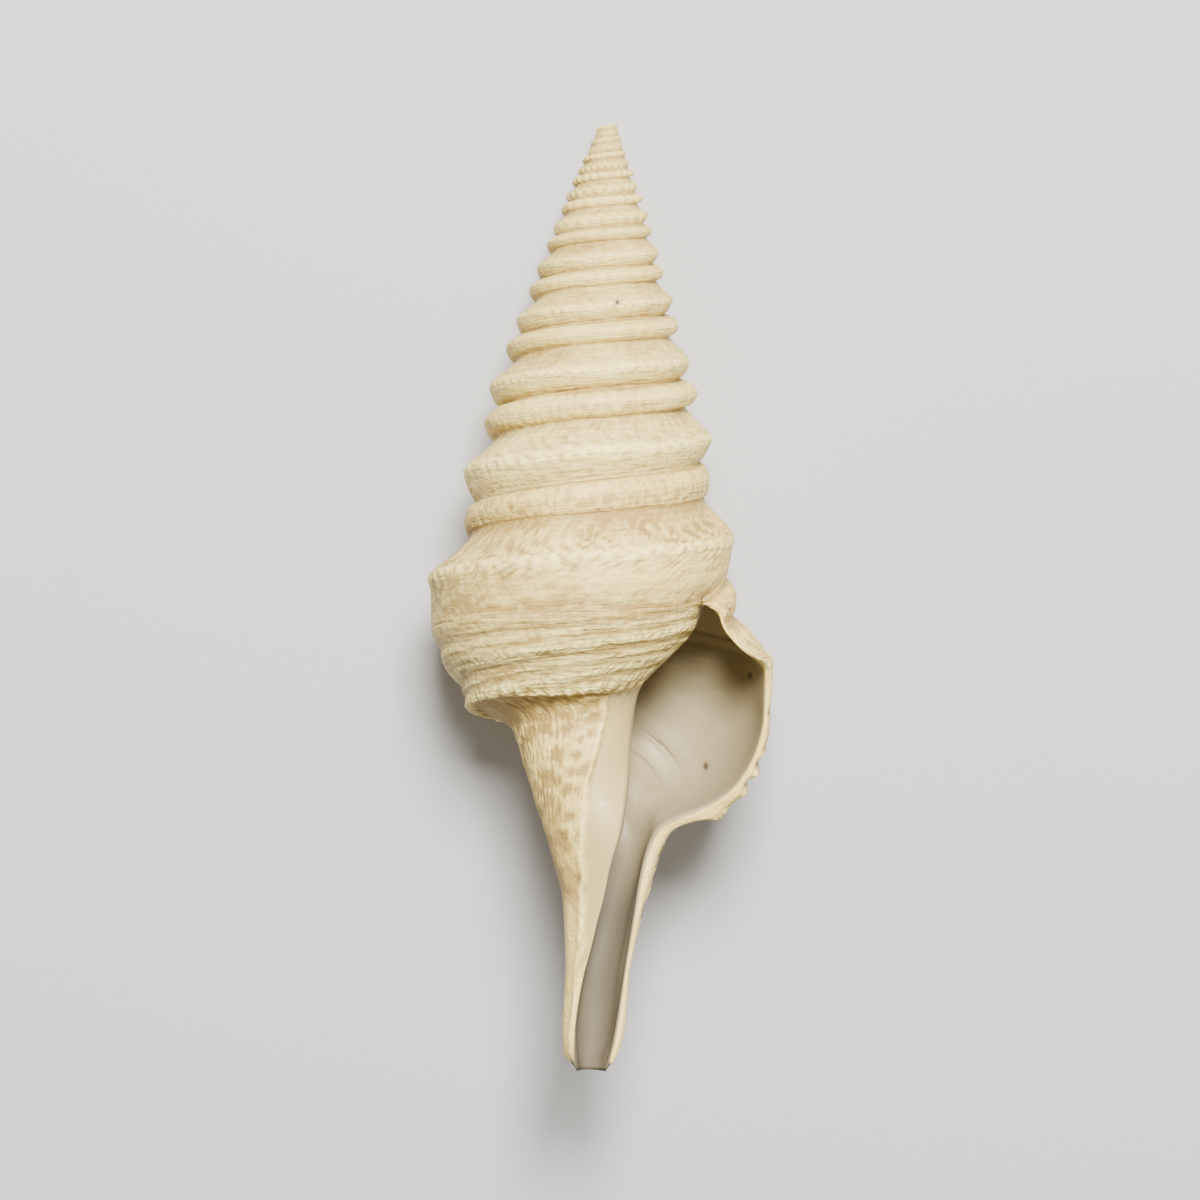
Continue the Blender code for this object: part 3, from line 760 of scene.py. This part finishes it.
def mouthFaces(points, lip, start, ends, rimIds, hollowIds):
    # the hollow, the lip's edge, and the seams that join them to the outside
    faces = []
    for here, there in zip(hollowIds, hollowIds[1:]):
        faces += quads(here, there)
    for here, there in zip(rimIds, rimIds[1:] + hollowIds[:1]):
        faces += quads(here, there)
    heights = -points[:, 1]
    faces += stitch(lip, rimIds[0], heights[lip], heights[rimIds[0]])
    corner = hollowIds[0][0]
    last = hollowIds[-1]
    front = [corner] + last[1:]
    faces.append((corner, last[0], last[1]))
    faces += stitch(start, front, heights[start], heights[front])
    top = [ids[0] for ids in rimIds] + [corner]
    faces += [(lip[0], top[k], top[k + 1]) for k in range(len(top) - 1)]
    inner = [ids[-1] for ids in rimIds + hollowIds]
    faces += stitch(ends[::-1], inner, np.linspace(0, 1, len(ends)), np.linspace(0, 1, len(inner)))
    return faces


def shellValues(outside, points, inside, edges):
    # what the relief and the finishes read at each point
    old = len(points) - len(inside)
    values = {}
    for name in ("turn", "row", "place", "neck", "age"):
        numbers = np.zeros(old, np.float32)
        outside.attributes[name].data.foreach_get("value", numbers)
        values[name] = np.append(numbers, np.zeros(len(inside)))
    values["inside"] = np.append(np.zeros(old), np.ones(len(inside)))
    for number, name in enumerate(("rim", "lipFace", "lipDrop", "behind")):
        values[name] = np.append(np.zeros(old), [row[number + 1] for row in inside])
    for edge in edges:
        values["rim"][edge] = 1.0
    x, heights, z = points.T
    onFront = (z > 0) & (values["neck"] > 0)
    values["brink"] = np.where(onFront, x - curveThrough(glazeEdge, -heights), noGlaze)
    return values


def closeMouth(outside, lip, start, ends):
    # joins the hollow to the outside along the lip, the inner lip and the canal's end
    points = pointsOf(outside)
    steps = mouth["steps"]
    sections = outsideSections()
    rounds = [hollowRows(step / steps, points[lip], points[start], sections) for step in range(steps)]
    layers = lipLines(points[lip], rounds[0][0])
    inside, rimIds, hollowIds = insidePoints(len(points), layers, rounds)
    points = np.concatenate([points, [row[0] for row in inside]])
    faces = [tuple(face.vertices) for face in outside.polygons]
    faces += mouthFaces(points, lip, start, ends, rimIds, hollowIds)
    values = shellValues(outside, points, inside, (lip, start, ends))
    mesh = meshWith("closed shell", points.tolist(), faces, values)
    model = bmesh.new()
    model.from_mesh(mesh)
    bmesh.ops.recalc_face_normals(model, faces=model.faces)
    model.to_mesh(mesh)
    loose = sum(1 for line in model.edges if len(line.link_faces) != 2)
    model.free()
    print("mouth closed,", len(mesh.polygons), "faces,", loose, "open edges")
    return mesh


closed = closeMouth(outside, lipLine, startLine, endLine)


# Finishes of the shell.

outerFinish = {
    "cream": (0.80, 0.58, 0.165, 1),
    "tan": (0.38, 0.24, 0.06, 1),
    "chalk": (0.95, 0.78, 0.27, 1),
    "glaze": (0.48, 0.365, 0.155, 1),
    "dirt": (0.10, 0.07, 0.04, 1),
    "roughness": 0.62,
    "glazeRoughness": 0.35,
    "glazeCover": 0.85,  # how much of the glaze's own colour shows
    "mottle": 0.45,  # how strongly cream, tan and chalk alternate in patches
    "patchScale": 330.0,  # patches and grains in a metre
    "grainScale": 2600.0,
    "threads": (22.0, 4.0),  # fine threads along the growth lines, in a turn and in a row
    "spirePaintedLightTurns": (-1.6, -0.8),  # the turns before these are painted paler: painted light on the spire
    "grainDepth": 0.00014,  # metres
    "specks": [(0.92, 11.7, 0.10, 0.12)],  # (to the right, drop, half width, half height) of dark specks
}
innerFinish = {
    "porcelain": (0.34, 0.275, 0.15, 1),
    # a lighter tone: painted light deep in the hollow, also blended in by the clouds
    "cloudAndPaintedLightTone": (0.40, 0.33, 0.18, 1),
    "pearlAndHighlight": (0.62, 0.52, 0.31, 1),
    "canal": (0.105, 0.085, 0.048, 1),
    "canalRoughness": 0.75,
    "roughness": 0.42,
    "cloudScale": 160.0,  # clouds in a metre
    "paintedLightDeep": (15.0, 95.0),  # degrees behind the lip over which the lighter tone, painted light deep in the hollow, comes in
    "canalDrops": (36.5, 44.0),  # drops over which the canal's colour comes in
    "endDrops": (46.0, 51.0),  # and over which its end grows darker
    "grainScale": 900.0,
    "grainDepth": 0.0001,
    "specks": [(8.83, 30.69, 0.10, 0.17), (6.76, 35.6, 0.12, 0.18)],
}
# The pearly fold low on the hollow's wall, as seen from the mouth. Its arcs of painted shadow, glints
# of painted highlight and humps are (distance beside its middle line, half width, strength or height).
pearlyFold = {
    "right": 3.95,  # its middle: millimetres to the right of the axis, and drop
    "drop": 35.1,
    "direction": (0.77, 0.64),  # it runs to the right and down
    "bend": 0.12,  # how much its arcs of painted shadow and glints of painted highlight bend
    "gone": (150.0, 180.0),  # degrees behind the lip at which it ends
    "shadowArcs": [(0.72, 0.08, 1.0), (-0.60, 0.08, 0.7)],
    "glints": [(0.50, 0.10, 1.0), (-0.15, 0.28, 0.6)],
    "humps": [(0.0, 0.36, 1.0), (0.75, 0.16, -0.5), (1.05, 0.2, 0.4)],
    "finishLength": 1.1,  # half its length, in the finish and in the relief
    "reliefLength": 1.2,
}


def foldPlace(x, drop):
    # how far along and beside the fold's middle a point lies
    x, drop = x - pearlyFold["right"], drop - pearlyFold["drop"]
    across, down = pearlyFold["direction"]
    return x * across + drop * down, x * down - drop * across


class FinishSheet(NodeSheet):
    # a material's node tree

    def __init__(self, name):
        self.material = bpy.data.materials.new(name)
        self.material.use_nodes = True
        super().__init__(self.material.node_tree)
        self.shader = self.tree.nodes["Principled BSDF"]
        self.shader.location = (2600, 0)

    def attribute(self, name):
        return self.make("ShaderNodeAttribute", {}, output=2, attribute_name=name)

    def place(self):
        made = self.node("ShaderNodeTexCoord")
        return Field(self, made.outputs["Object"])

    def mixed(self, share, first, second):
        made = self.node("ShaderNodeMix", data_type="RGBA")
        colours = [socket for socket in made.inputs if socket.type == "RGBA"]
        self.plug(made.inputs[0], self.between(share, 0.0, 1.0))
        self.plug(colours[0], first)
        self.plug(colours[1], second)
        return Field(self, [socket for socket in made.outputs if socket.type == "RGBA"][0])

    def spotted(self, tone, specks, dirt):
        across, down = self.attribute("across"), self.attribute("down")
        for x, drop, wide, tall in specks:
            spot = self.bell(across, x, wide) * self.bell(down, drop, tall)
            tone = self.mixed(spot * 1.6, tone, dirt)
        return tone

    def bump(self, height, strength, distance):
        inputs = {"Strength": strength, "Distance": distance, "Height": height}
        self.plug(self.shader.inputs["Normal"], self.make("ShaderNodeBump", inputs))


def makeOuterMaterial():
    sheet = FinishSheet("chalky cream")
    shade = outerFinish
    place = sheet.place()
    aroundTurn, acrossRow = shade["threads"]
    threadPlace = sheet.vector(sheet.attribute("age") * aroundTurn, sheet.attribute("row") * acrossRow, 0.0)
    patches = sheet.noise(place, scale=shade["patchScale"], detail=3.0, roughness=0.6) - 0.5
    grain = sheet.noise(place, scale=shade["grainScale"], detail=3.0, roughness=0.6) - 0.5
    threads = sheet.noise(threadPlace) - 0.5
    mottle = (patches * 1.3 + grain * 1.1 + threads * 0.9) * shade["mottle"]
    # painted light: the older turns of the spire are paler, with less painted shade in their hollows
    spirePaintedLight = 1.0 - sheet.smooth(sheet.attribute("turn"), *shade["spirePaintedLightTurns"])
    # tan where the relief lies deep, in grooves and under the ridge: partly the shell's own tan and stains,
    # partly painted shade
    low = sheet.attribute("hollowTanAndShade") * (1.0 - spirePaintedLight * 0.35) + sheet.attribute("stainAndShade") + mottle + 0.08
    high = sheet.attribute("worn") * 1.3 - mottle * 1.3 + spirePaintedLight * 0.3 - 0.08
    tone = sheet.mixed(low, shade["cream"], shade["tan"])
    tone = sheet.mixed(high, tone, shade["chalk"])
    glaze = sheet.attribute("glaze")
    glazed = sheet.between(glaze, 0.0, 1.0)
    tone = sheet.mixed(glaze * shade["glazeCover"], tone, shade["glaze"])
    tone = sheet.spotted(tone, shade["specks"], shade["dirt"])
    sheet.plug(sheet.shader.inputs["Base Color"], tone)
    rough = shade["roughness"] + patches * 0.3
    rough = rough + (shade["glazeRoughness"] - rough) * glazed
    sheet.plug(sheet.shader.inputs["Roughness"], rough)
    sheet.bump((grain * 1.3 + threads * 1.5) * (1.0 - glazed * 0.9), 0.6, shade["grainDepth"])
    return sheet.material


def makeInnerMaterial():
    sheet = FinishSheet("smooth porcelain")
    shade = innerFinish
    place = sheet.place()
    behind = sheet.attribute("behind")
    down = sheet.attribute("down")
    clouds = sheet.noise(place, scale=shade["cloudScale"]) - 0.5
    # painted light: deep in the hollow the tone turns lighter
    paintedLightDeep = sheet.smooth(behind, *shade["paintedLightDeep"])
    tone = sheet.mixed(paintedLightDeep * 0.6 + clouds * 0.5, shade["porcelain"], shade["cloudAndPaintedLightTone"])
    low = sheet.smooth(down, *shade["canalDrops"]) + clouds * 0.3
    tone = sheet.mixed(low * (1.0 - sheet.attribute("edge") * 0.9), tone, shade["canal"])
    # the pearly fold: painted highlight lines on it, between two thin arcs of painted shadow
    along, beside = foldPlace(sheet.attribute("across"), down)
    beside = beside + along * along * pearlyFold["bend"]
    near = sheet.bell(along, 0.0, pearlyFold["finishLength"])
    near = near * (1.0 - sheet.smooth(behind, *pearlyFold["gone"]))
    shadowArcs = sheet.bells(beside, pearlyFold["shadowArcs"]) * near
    glints = sheet.bells(beside, pearlyFold["glints"]) * near
    # a paler pearly tone on the ribs and the fold, partly painted highlight, and the fold's painted
    # highlight lines
    tone = sheet.mixed(sheet.attribute("pearlAndHighlight") * 0.4 + glints * 0.75, tone, shade["pearlAndHighlight"])
    tone = sheet.mixed(shadowArcs * 0.7, tone, shade["canal"])
    tone = sheet.mixed(sheet.smooth(down, *shade["endDrops"]) * 0.35, tone, outerFinish["dirt"])
    tone = sheet.spotted(tone, shade["specks"], outerFinish["dirt"])
    sheet.plug(sheet.shader.inputs["Base Color"], tone)
    rough = shade["roughness"] + clouds * 0.2 + low * (shade["canalRoughness"] - shade["roughness"])
    sheet.plug(sheet.shader.inputs["Roughness"], sheet.between(rough, 0.2, 0.9))
    sheet.bump(sheet.noise(place, scale=shade["grainScale"]), 0.12, shade["grainDepth"])
    return sheet.material


outerMaterial = makeOuterMaterial()
innerMaterial = makeInnerMaterial()
print("materials ready")


# Relief and rest: what grows on the coiled surface, and how the shell lies.

relief = {
    "Keel Beads": 52.0,  # counts are for one turn, heights in millimetres at the lip's size
    "Bead Height": 0.16,
    "Early Nodules": 20.0,
    "Nodule Height": 0.85,
    "Wrinkles": 60.0,
    "Wrinkle Height": 0.13,
    "Streak Height": 0.07,
    "Cord Beads": 74.0,
    "Cord Height": 0.09,
    "Scallops": 38.0,
    "Scallop Height": 0.13,
    "Neck Beads": 57.0,
    "Neck Height": 0.12,
    "Glaze Rim Height": 0.16,
    "Unevenness": 0.22,
    "Lip Step Height": 0.30,
    "Rib Height": 0.05,
    "Fold Height": 0.70,
    "Seed": 7.0,
    "Tilt": 16.0,  # degrees by which the axis leans from the ground
    "Outer Finish": outerMaterial,
    "Inner Finish": innerMaterial,
}
# Where the sculpture stands, in rows: its middle and half width, or where it comes and goes.
rowMarks = {
    "keel": (6.9, 0.45),
    "earlyKeel": (6.8, 0.9),
    "earlyCord": (2.0, 1.0),
    "cordComes": (0.3, 1.2),
    "cordGoes": (3.2, 4.0),
    "groove": (4.1, 0.45),
    "rampComes": (3.4, 5.0),
    "rampGoes": (7.0, 8.4),
    "flankGoes": (15.0, 16.0),
    "ridge": (15.7, 0.5),
}
# The turns over which each kind of sculpture comes in.
turnMarks = {
    "nodules": (-8.8, -7.6),
    "beads": (-6.0, -5.3),
    "wrinkles": (-3.4, -1.5),
    "streaks": (-2.6, -1.1),
    "lipSteps": (-0.16, -0.03),
}
# Spiral cords (height above 0) and grooves (below 0) down the last whorl's flank, as
# (drop in shares of the keel's own drop, half width, height in shares of the cord height).
flankCords = [
    (1.142, 0.007, -0.7), (1.155, 0.005, 0.4), (1.168, 0.005, -0.5), (1.187, 0.008, 1.0),
    (1.208, 0.007, -1.0), (1.218, 0.004, 0.5), (1.228, 0.004, -0.6), (1.247, 0.009, 1.0),
    (1.264, 0.004, -0.4), (1.280, 0.008, 0.8),
]
lipSteps = [(1.187, 0.010, 1.0), (1.226, 0.010, 1.0), (1.266, 0.012, 1.0)]  # where cords notch the lip
# Faint ribs of the hollow, as (drop at which one would meet the lip, half width, height).
innerRibs = [(31.0, 0.13, 1.0), (32.6, 0.13, 1.0), (34.2, 0.13, 1.0), (36.3, 0.13, 1.0)]
lineSharpness = 7.0  # how thin the crests of growth lines are
edgeRounds = 4  # how many times the lip's edge is smoothed
hollowRounds = 6  # how many times the surface is smoothed to find what lies deeper than it
hollowTanAndShadeStrength = 8.0  # how strongly that is darkened towards tan: partly the grooves' own tan, partly painted shade
restPlace = (-0.28, 29.47, 0.68)  # where the axis point lies in the frame, millimetres


class Surface:
    # what all of the sculpture reads at a point of the outside

    def __init__(self, sheet, x, drop):
        self.x = x
        self.drop = drop
        self.turn = sheet.attribute("turn")
        self.row = sheet.attribute("row")
        self.place = sheet.attribute("place")
        self.neck = sheet.attribute("neck")
        self.age = sheet.attribute("age")
        self.brink = sheet.attribute("brink")
        self.seed = sheet.given["Seed"]
        self.uneven = sheet.noise(sheet.vector(self.age * 30.0, self.row * 2.0, self.seed + 4.0), detail=1.0)
        self.lumpy = sheet.smooth(self.uneven, 0.3, 0.65)


def keelSculpture(sheet, at):
    # beads on the keel, and round knobs on the oldest turns
    late = sheet.smooth(at.turn, *turnMarks["beads"])
    beads = sheet.wave(at.age * sheet.given["Keel Beads"] + at.uneven * 1.5)
    beads = sheet.bell(at.row, *rowMarks["keel"]) * beads * (at.lumpy * 0.7 + 0.4) * late
    early = (1.0 - late) * sheet.smooth(at.turn, *turnMarks["nodules"])
    knobs = sheet.bell(at.row, *rowMarks["earlyKeel"]) + sheet.bell(at.row, *rowMarks["earlyCord"]) * 0.7
    knobs = knobs * early * (sheet.wave(at.age * sheet.given["Early Nodules"]) - 0.3)
    return beads, knobs


def growthLines(sheet, at):
    # wrinkles across the ramp and the cord above it, and slanting streaks down the flank
    onCord = sheet.smooth(at.row, *rowMarks["cordComes"])
    onCord = onCord * (1.0 - sheet.smooth(at.row, *rowMarks["cordGoes"]))
    belowKeel = sheet.smooth(at.row, *rowMarks["rampGoes"])
    ramp = sheet.smooth(at.row, *rowMarks["rampComes"]) * (1.0 - belowKeel)
    flank = belowKeel * (1.0 - sheet.smooth(at.row, *rowMarks["flankGoes"]))
    grown = sheet.smooth(at.turn, *turnMarks["wrinkles"]) * 0.8 + 0.2
    linePlace = sheet.vector(at.age * sheet.given["Wrinkles"], at.row * 0.6, at.seed)
    lines = sheet.noise(linePlace, detail=2.0, roughness=0.6)
    lines = 1.0 - sheet.sum("ABSOLUTE", lines - 0.5) * lineSharpness
    wrinkles = sheet.between(lines, -0.6, 1.0) * (ramp + onCord * 0.6) * grown
    sway = sheet.noise(sheet.vector(at.age * 20.0, at.row * 0.9, at.seed + 9.0)) * 1.8
    streakPlace = sheet.vector(at.age * 10.0, at.row * 2.4 + sway, at.seed + 2.0)
    streaks = sheet.noise(streakPlace, detail=3.0, roughness=0.65)
    streaks = 1.0 - sheet.sum("ABSOLUTE", streaks - 0.5) * lineSharpness
    streaks = sheet.between(streaks, -0.8, 1.0) * flank * sheet.smooth(at.turn, *turnMarks["streaks"])
    return wrinkles, streaks


def spiralSculpture(sheet, at):
    # beaded cords and grooves on the flank, and scallops on the ridge below it
    cordWave = sheet.wave(at.age * sheet.given["Cord Beads"] + at.uneven * 3.0) * 0.9 + at.lumpy * 0.5
    raised = [hump for hump in flankCords if hump[2] > 0]
    sunk = [(middle, width, -tall) for middle, width, tall in flankCords if tall < 0]
    cords = sheet.bells(at.place, raised) * cordWave
    grooves = sheet.bells(at.place, sunk)
    ridge = sheet.bell(at.row, *rowMarks["ridge"])
    scallops = ridge * sheet.wave(at.age * sheet.given["Scallops"] + at.uneven)
    steps = (sheet.bells(at.place, lipSteps) - 0.35) * sheet.smooth(at.turn, *turnMarks["lipSteps"])
    steps = steps * sheet.smooth(at.place, 1.15, 1.18)
    return cords, grooves, scallops, steps


def neckSculpture(sheet, at):
    # rows of blocks with slits between, oblique ridges beside the glaze, and the glaze's raised edge
    wobble = sheet.noise(sheet.vector(at.x * 1.3, at.drop * 1.3, at.seed + 5.0), detail=2.0)
    brink = at.brink + (wobble - 0.5) * 0.7
    glaze = sheet.smooth(brink, -0.12, 0.12) * sheet.smooth(at.neck, 0.004, 0.03)
    rugose = sheet.smooth(at.neck, 0.01, 0.05) * (1.0 - sheet.smooth(at.neck, 0.42, 0.75)) * (1.0 - glaze)
    crumbs = sheet.noise(sheet.vector(at.x * 3.0, at.drop * 2.6, at.age * 40.0), detail=2.0) * 1.6 - 0.3
    blocks = sheet.wave(at.age * sheet.given["Neck Beads"] + wobble * 2.2)
    threads = sheet.wave(at.drop * 2.1 + at.x * 0.25 + wobble * 2.0)
    gaps = (1.0 - blocks) ** 3.0 * 0.55 * (wobble + 0.3) + (1.0 - threads) ** 3.0 * 0.7
    blocks = 0.6 - gaps + sheet.between(crumbs, 0.0, 1.0) * 0.6
    beside = sheet.bell(brink, -0.9, 0.8)
    oblique = sheet.wave((at.drop + at.x * 0.5) * 1.25 + wobble * 1.2)
    bumps = (blocks * (1.0 - beside * 0.7) + oblique * beside * 1.2 + (wobble - 0.5) * 1.4) * rugose
    rim = sheet.bell(brink, -0.25, 0.16) * (wobble * 1.6) * sheet.smooth(at.neck, 0.06, 0.15)
    # a darker band under the ridge: painted shadow, with some stain
    underRidgeShadowAndStain = sheet.bell(at.neck, 0.012, 0.022) * (1.0 - sheet.smooth(brink, -0.3, 0.2))
    slits = rugose * (1.0 - sheet.between(bumps * 1.6 + 0.1, 0.0, 1.0)) * 1.2
    lowStain = sheet.bell(at.x, -1.0, 0.6) * sheet.bell(at.drop, 40.5, 2.6) * wobble * 1.2
    lowStain = lowStain * sheet.smooth(at.neck, 0.1, 0.2)
    stainAndShade = underRidgeShadowAndStain * 0.9 + slits + rugose * 0.34 + lowStain
    return bumps, rim, glaze, stainAndShade


def outerRelief(sheet, size, x, drop):
    # height, staining and painted shade, and wear of the outside's sculpture, and where the glaze lies
    given = sheet.given
    at = Surface(sheet, x, drop)
    beads, knobs = keelSculpture(sheet, at)
    wrinkles, streaks = growthLines(sheet, at)
    cords, grooves, scallops, steps = spiralSculpture(sheet, at)
    bumps, rim, glaze, neckStainAndShade = neckSculpture(sheet, at)
    waves = sheet.noise(sheet.vector(at.age * 11.0, at.row * 0.7, at.seed + 1.0), detail=3.0) - 0.5
    height = steps * given["Lip Step Height"]
    height = height + beads * given["Bead Height"] + knobs * given["Nodule Height"]
    height = height + wrinkles * given["Wrinkle Height"] + streaks * given["Streak Height"]
    height = height + (cords - grooves) * given["Cord Height"] + scallops * given["Scallop Height"]
    height = height + bumps * given["Neck Height"] + rim * given["Glaze Rim Height"]
    height = height + waves * given["Unevenness"] * (1.0 - glaze)
    # darker in the grooves and in the groove under the cord: painted shade, with the grooves' own tan
    stainAndShade = grooves * 1.1 + neckStainAndShade + sheet.bell(at.row, *rowMarks["groove"]) * 0.35
    worn = beads * 0.9 + cords * 0.6 + scallops * 0.3 + rim * 0.6 + sheet.between(bumps, 0.0, 1.0) * 0.1
    worn = worn + (sheet.between(wrinkles, 0.0, 1.0) + sheet.between(streaks, 0.0, 1.0)) * 0.3
    return height * size, stainAndShade, worn, glaze


def innerRelief(sheet, x, drop, z):
    # height and pearly tone (partly painted highlight) of the hollow: faint ribs along it, a pearly fold,
    # and the lip's chipped edge
    given = sheet.given
    behind = sheet.attribute("behind")
    level = sheet.attribute("lipDrop") + (behind - 50.0) * 0.05
    ribs = sheet.bells(level, innerRibs) * sheet.smooth(behind, 25.0, 45.0)
    ribs = ribs * (1.0 - sheet.smooth(behind, 80.0, 110.0))
    along, beside = foldPlace(x, drop)
    fold = sheet.bells(beside, pearlyFold["humps"]) * sheet.bell(along, 0.0, pearlyFold["reliefLength"])
    fold = fold * sheet.smooth(behind, 12.0, 40.0) * (1.0 - sheet.smooth(behind, *pearlyFold["gone"]))
    chips = sheet.noise(sheet.vector(x * 2.2, drop * 2.2, z * 2.2), detail=2.0) - 0.5
    height = ribs * given["Rib Height"] + fold * given["Fold Height"]
    return height + chips * 0.4 * sheet.attribute("lipFace"), ribs * 0.5 + fold * 0.8


def layDown(sheet):
    # leans the shell, sets it on the ground and wears flat what would be below it
    tilt = sheet.given["Tilt"] * (-math.pi / 180)
    inputs = {
        "Geometry": sheet.shape,
        "Translation": sheet.vector(*[value * mm for value in restPlace]),
        "Rotation": sheet.vector(tilt, 0.0, 0.0),
        "Scale": (mm, mm, mm),
    }
    sheet.shape = sheet.make("GeometryNodeTransform", inputs)
    x, y, z = sheet.split(sheet.place())
    sheet.setPlace(place=sheet.vector(x, y, sheet.sum("MAXIMUM", z, 0.0)))


def reliefSheet(inputs):
    sheet = ShapeSheet("shell relief", inputs)
    inner = sheet.attribute("inside")
    outer = 1.0 - inner
    size = sheet.sum("POWER", coil["growth"], sheet.attribute("turn"))
    x, up, z = sheet.split(sheet.place())
    drop = up * -1.0
    sheet.store("across", x)
    sheet.store("down", drop)
    outerHeight, stainAndShade, worn, glaze = outerRelief(sheet, size, x, drop)
    innerHeight, pearlAndHighlight = innerRelief(sheet, x, drop, z)
    normal = sheet.make("GeometryNodeInputNormal", {})
    sheet.store("stainAndShade", stainAndShade * outer)
    sheet.store("worn", worn * outer)
    sheet.store("glaze", glaze * outer)
    sheet.store("edge", sheet.attribute("rim"))
    sheet.store("pearlAndHighlight", pearlAndHighlight * inner)
    sheet.setPlace(offset=sheet.scaled(normal, outerHeight * outer + innerHeight * inner))

    # rounds the edges, then finds what lies deeper than the surface about it
    sheet.setPlace(place=sheet.blurred(sheet.place(), edgeRounds, sheet.attribute("rim")))
    soft = sheet.blurred(sheet.place(), hollowRounds, 1.0)
    pressed = sheet.vectorSum("DOT_PRODUCT", sheet.vectorSum("SUBTRACT", soft, sheet.place()), normal)
    # painted shade: what lies deeper than the surface about it turns tan and crests paler, along with the
    # grooves' own tan
    sheet.store("hollowTanAndShade", pressed * hollowTanAndShadeStrength / size * outer)

    layDown(sheet)
    sheet.shape = sheet.make("GeometryNodeSetShadeSmooth", {"Geometry": sheet.shape})
    sheet.shape = sheet.make("GeometryNodeRealizeInstances", {"Geometry": sheet.shape})
    smoothSide = sheet.sum("GREATER_THAN", inner - sheet.attribute("lipFace"), 0.2)
    sheet.paint(sheet.given["Outer Finish"])
    sheet.paint(sheet.given["Inner Finish"], selection=smoothSide)
    sheet.end()
    return sheet


shellMesh = shapedBy(reliefSheet(relief), closed, relief)
seashell = bpy.data.objects.new("seashell", shellMesh)
bpy.context.scene.collection.objects.link(seashell)
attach(seashell, "root")
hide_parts("shell")
shellMesh.calc_loop_triangles()
print("shell shaped,", len(shellMesh.loop_triangles), "triangles")


# Floor, light and camera.

studio = {
    "floorSize": 3.0,  # sizes and places of the floor and the lamps are in metres
    "floorTone": (0.50, 0.49, 0.47, 1),
    "worldTone": (1.0, 0.97, 0.90, 1),
    "worldStrength": 0.25,
    "keyWatts": 7.2,
    "keySize": 0.12,
    "keyPlace": (0.03, 0.26, 0.34),
    "fillWatts": 0.5,
    "fillSize": 0.4,
    "fillPlace": (0.25, -0.20, 0.45),
}
view = {
    "middle": (0.47, 3.45, 8.14),  # what the picture's middle shows, millimetres
    "distance": 250.0,
    "width": 62.83,  # how much the picture shows across, at that distance
    "tilt": 16.0,  # the camera looks straight into the mouth's side of the shell
    "roll": 2.67,
}


def makeFloor():
    half = studio["floorSize"] / 2
    mesh = bpy.data.meshes.new("floor")
    corners = [(-half, -half, 0), (half, -half, 0), (half, half, 0), (-half, half, 0)]
    mesh.from_pydata(corners, [], [(0, 1, 2, 3)])
    floor = bpy.data.objects.new("floor", mesh)
    bpy.context.scene.collection.objects.link(floor)
    paper = bpy.data.materials.new("pale paper")
    paper.use_nodes = True
    shader = paper.node_tree.nodes["Principled BSDF"]
    shader.inputs["Base Color"].default_value = studio["floorTone"]
    shader.inputs["Roughness"].default_value = 0.9
    mesh.materials.append(paper)


def makeLamp(name, place, size, watts):
    data = bpy.data.lights.new(name, "AREA")
    data.size = size
    data.energy = watts
    lamp = bpy.data.objects.new(name, data)
    lamp.location = place
    lamp.rotation_mode = "QUATERNION"
    lamp.rotation_quaternion = (-Vector(place)).to_track_quat("-Z", "Y")
    bpy.context.scene.collection.objects.link(lamp)


def makeWorld():
    world = bpy.data.worlds.new("studio")
    world.use_nodes = True
    back = world.node_tree.nodes["Background"]
    back.inputs["Color"].default_value = studio["worldTone"]
    back.inputs["Strength"].default_value = studio["worldStrength"]
    bpy.context.scene.world = world


def makeCamera():
    data = bpy.data.cameras.new("camera")
    data.sensor_width = 36
    data.lens = data.sensor_width * view["distance"] / view["width"]
    data.clip_start = 0.01
    camera = bpy.data.objects.new("camera", data)
    tilt = Matrix.Rotation(math.radians(-view["tilt"]), 4, "X")
    roll = Matrix.Rotation(math.radians(view["roll"]), 4, "Z")
    middle = Matrix.Translation(Vector(view["middle"]) * mm)
    away = Matrix.Translation((0, 0, view["distance"] * mm))
    camera.matrix_world = middle @ tilt @ roll @ away
    bpy.context.scene.collection.objects.link(camera)
    bpy.context.scene.camera = camera


makeFloor()
makeLamp("key", studio["keyPlace"], studio["keySize"], studio["keyWatts"])
makeLamp("fill", studio["fillPlace"], studio["fillSize"], studio["fillWatts"])
makeWorld()
makeCamera()
print("studio ready")
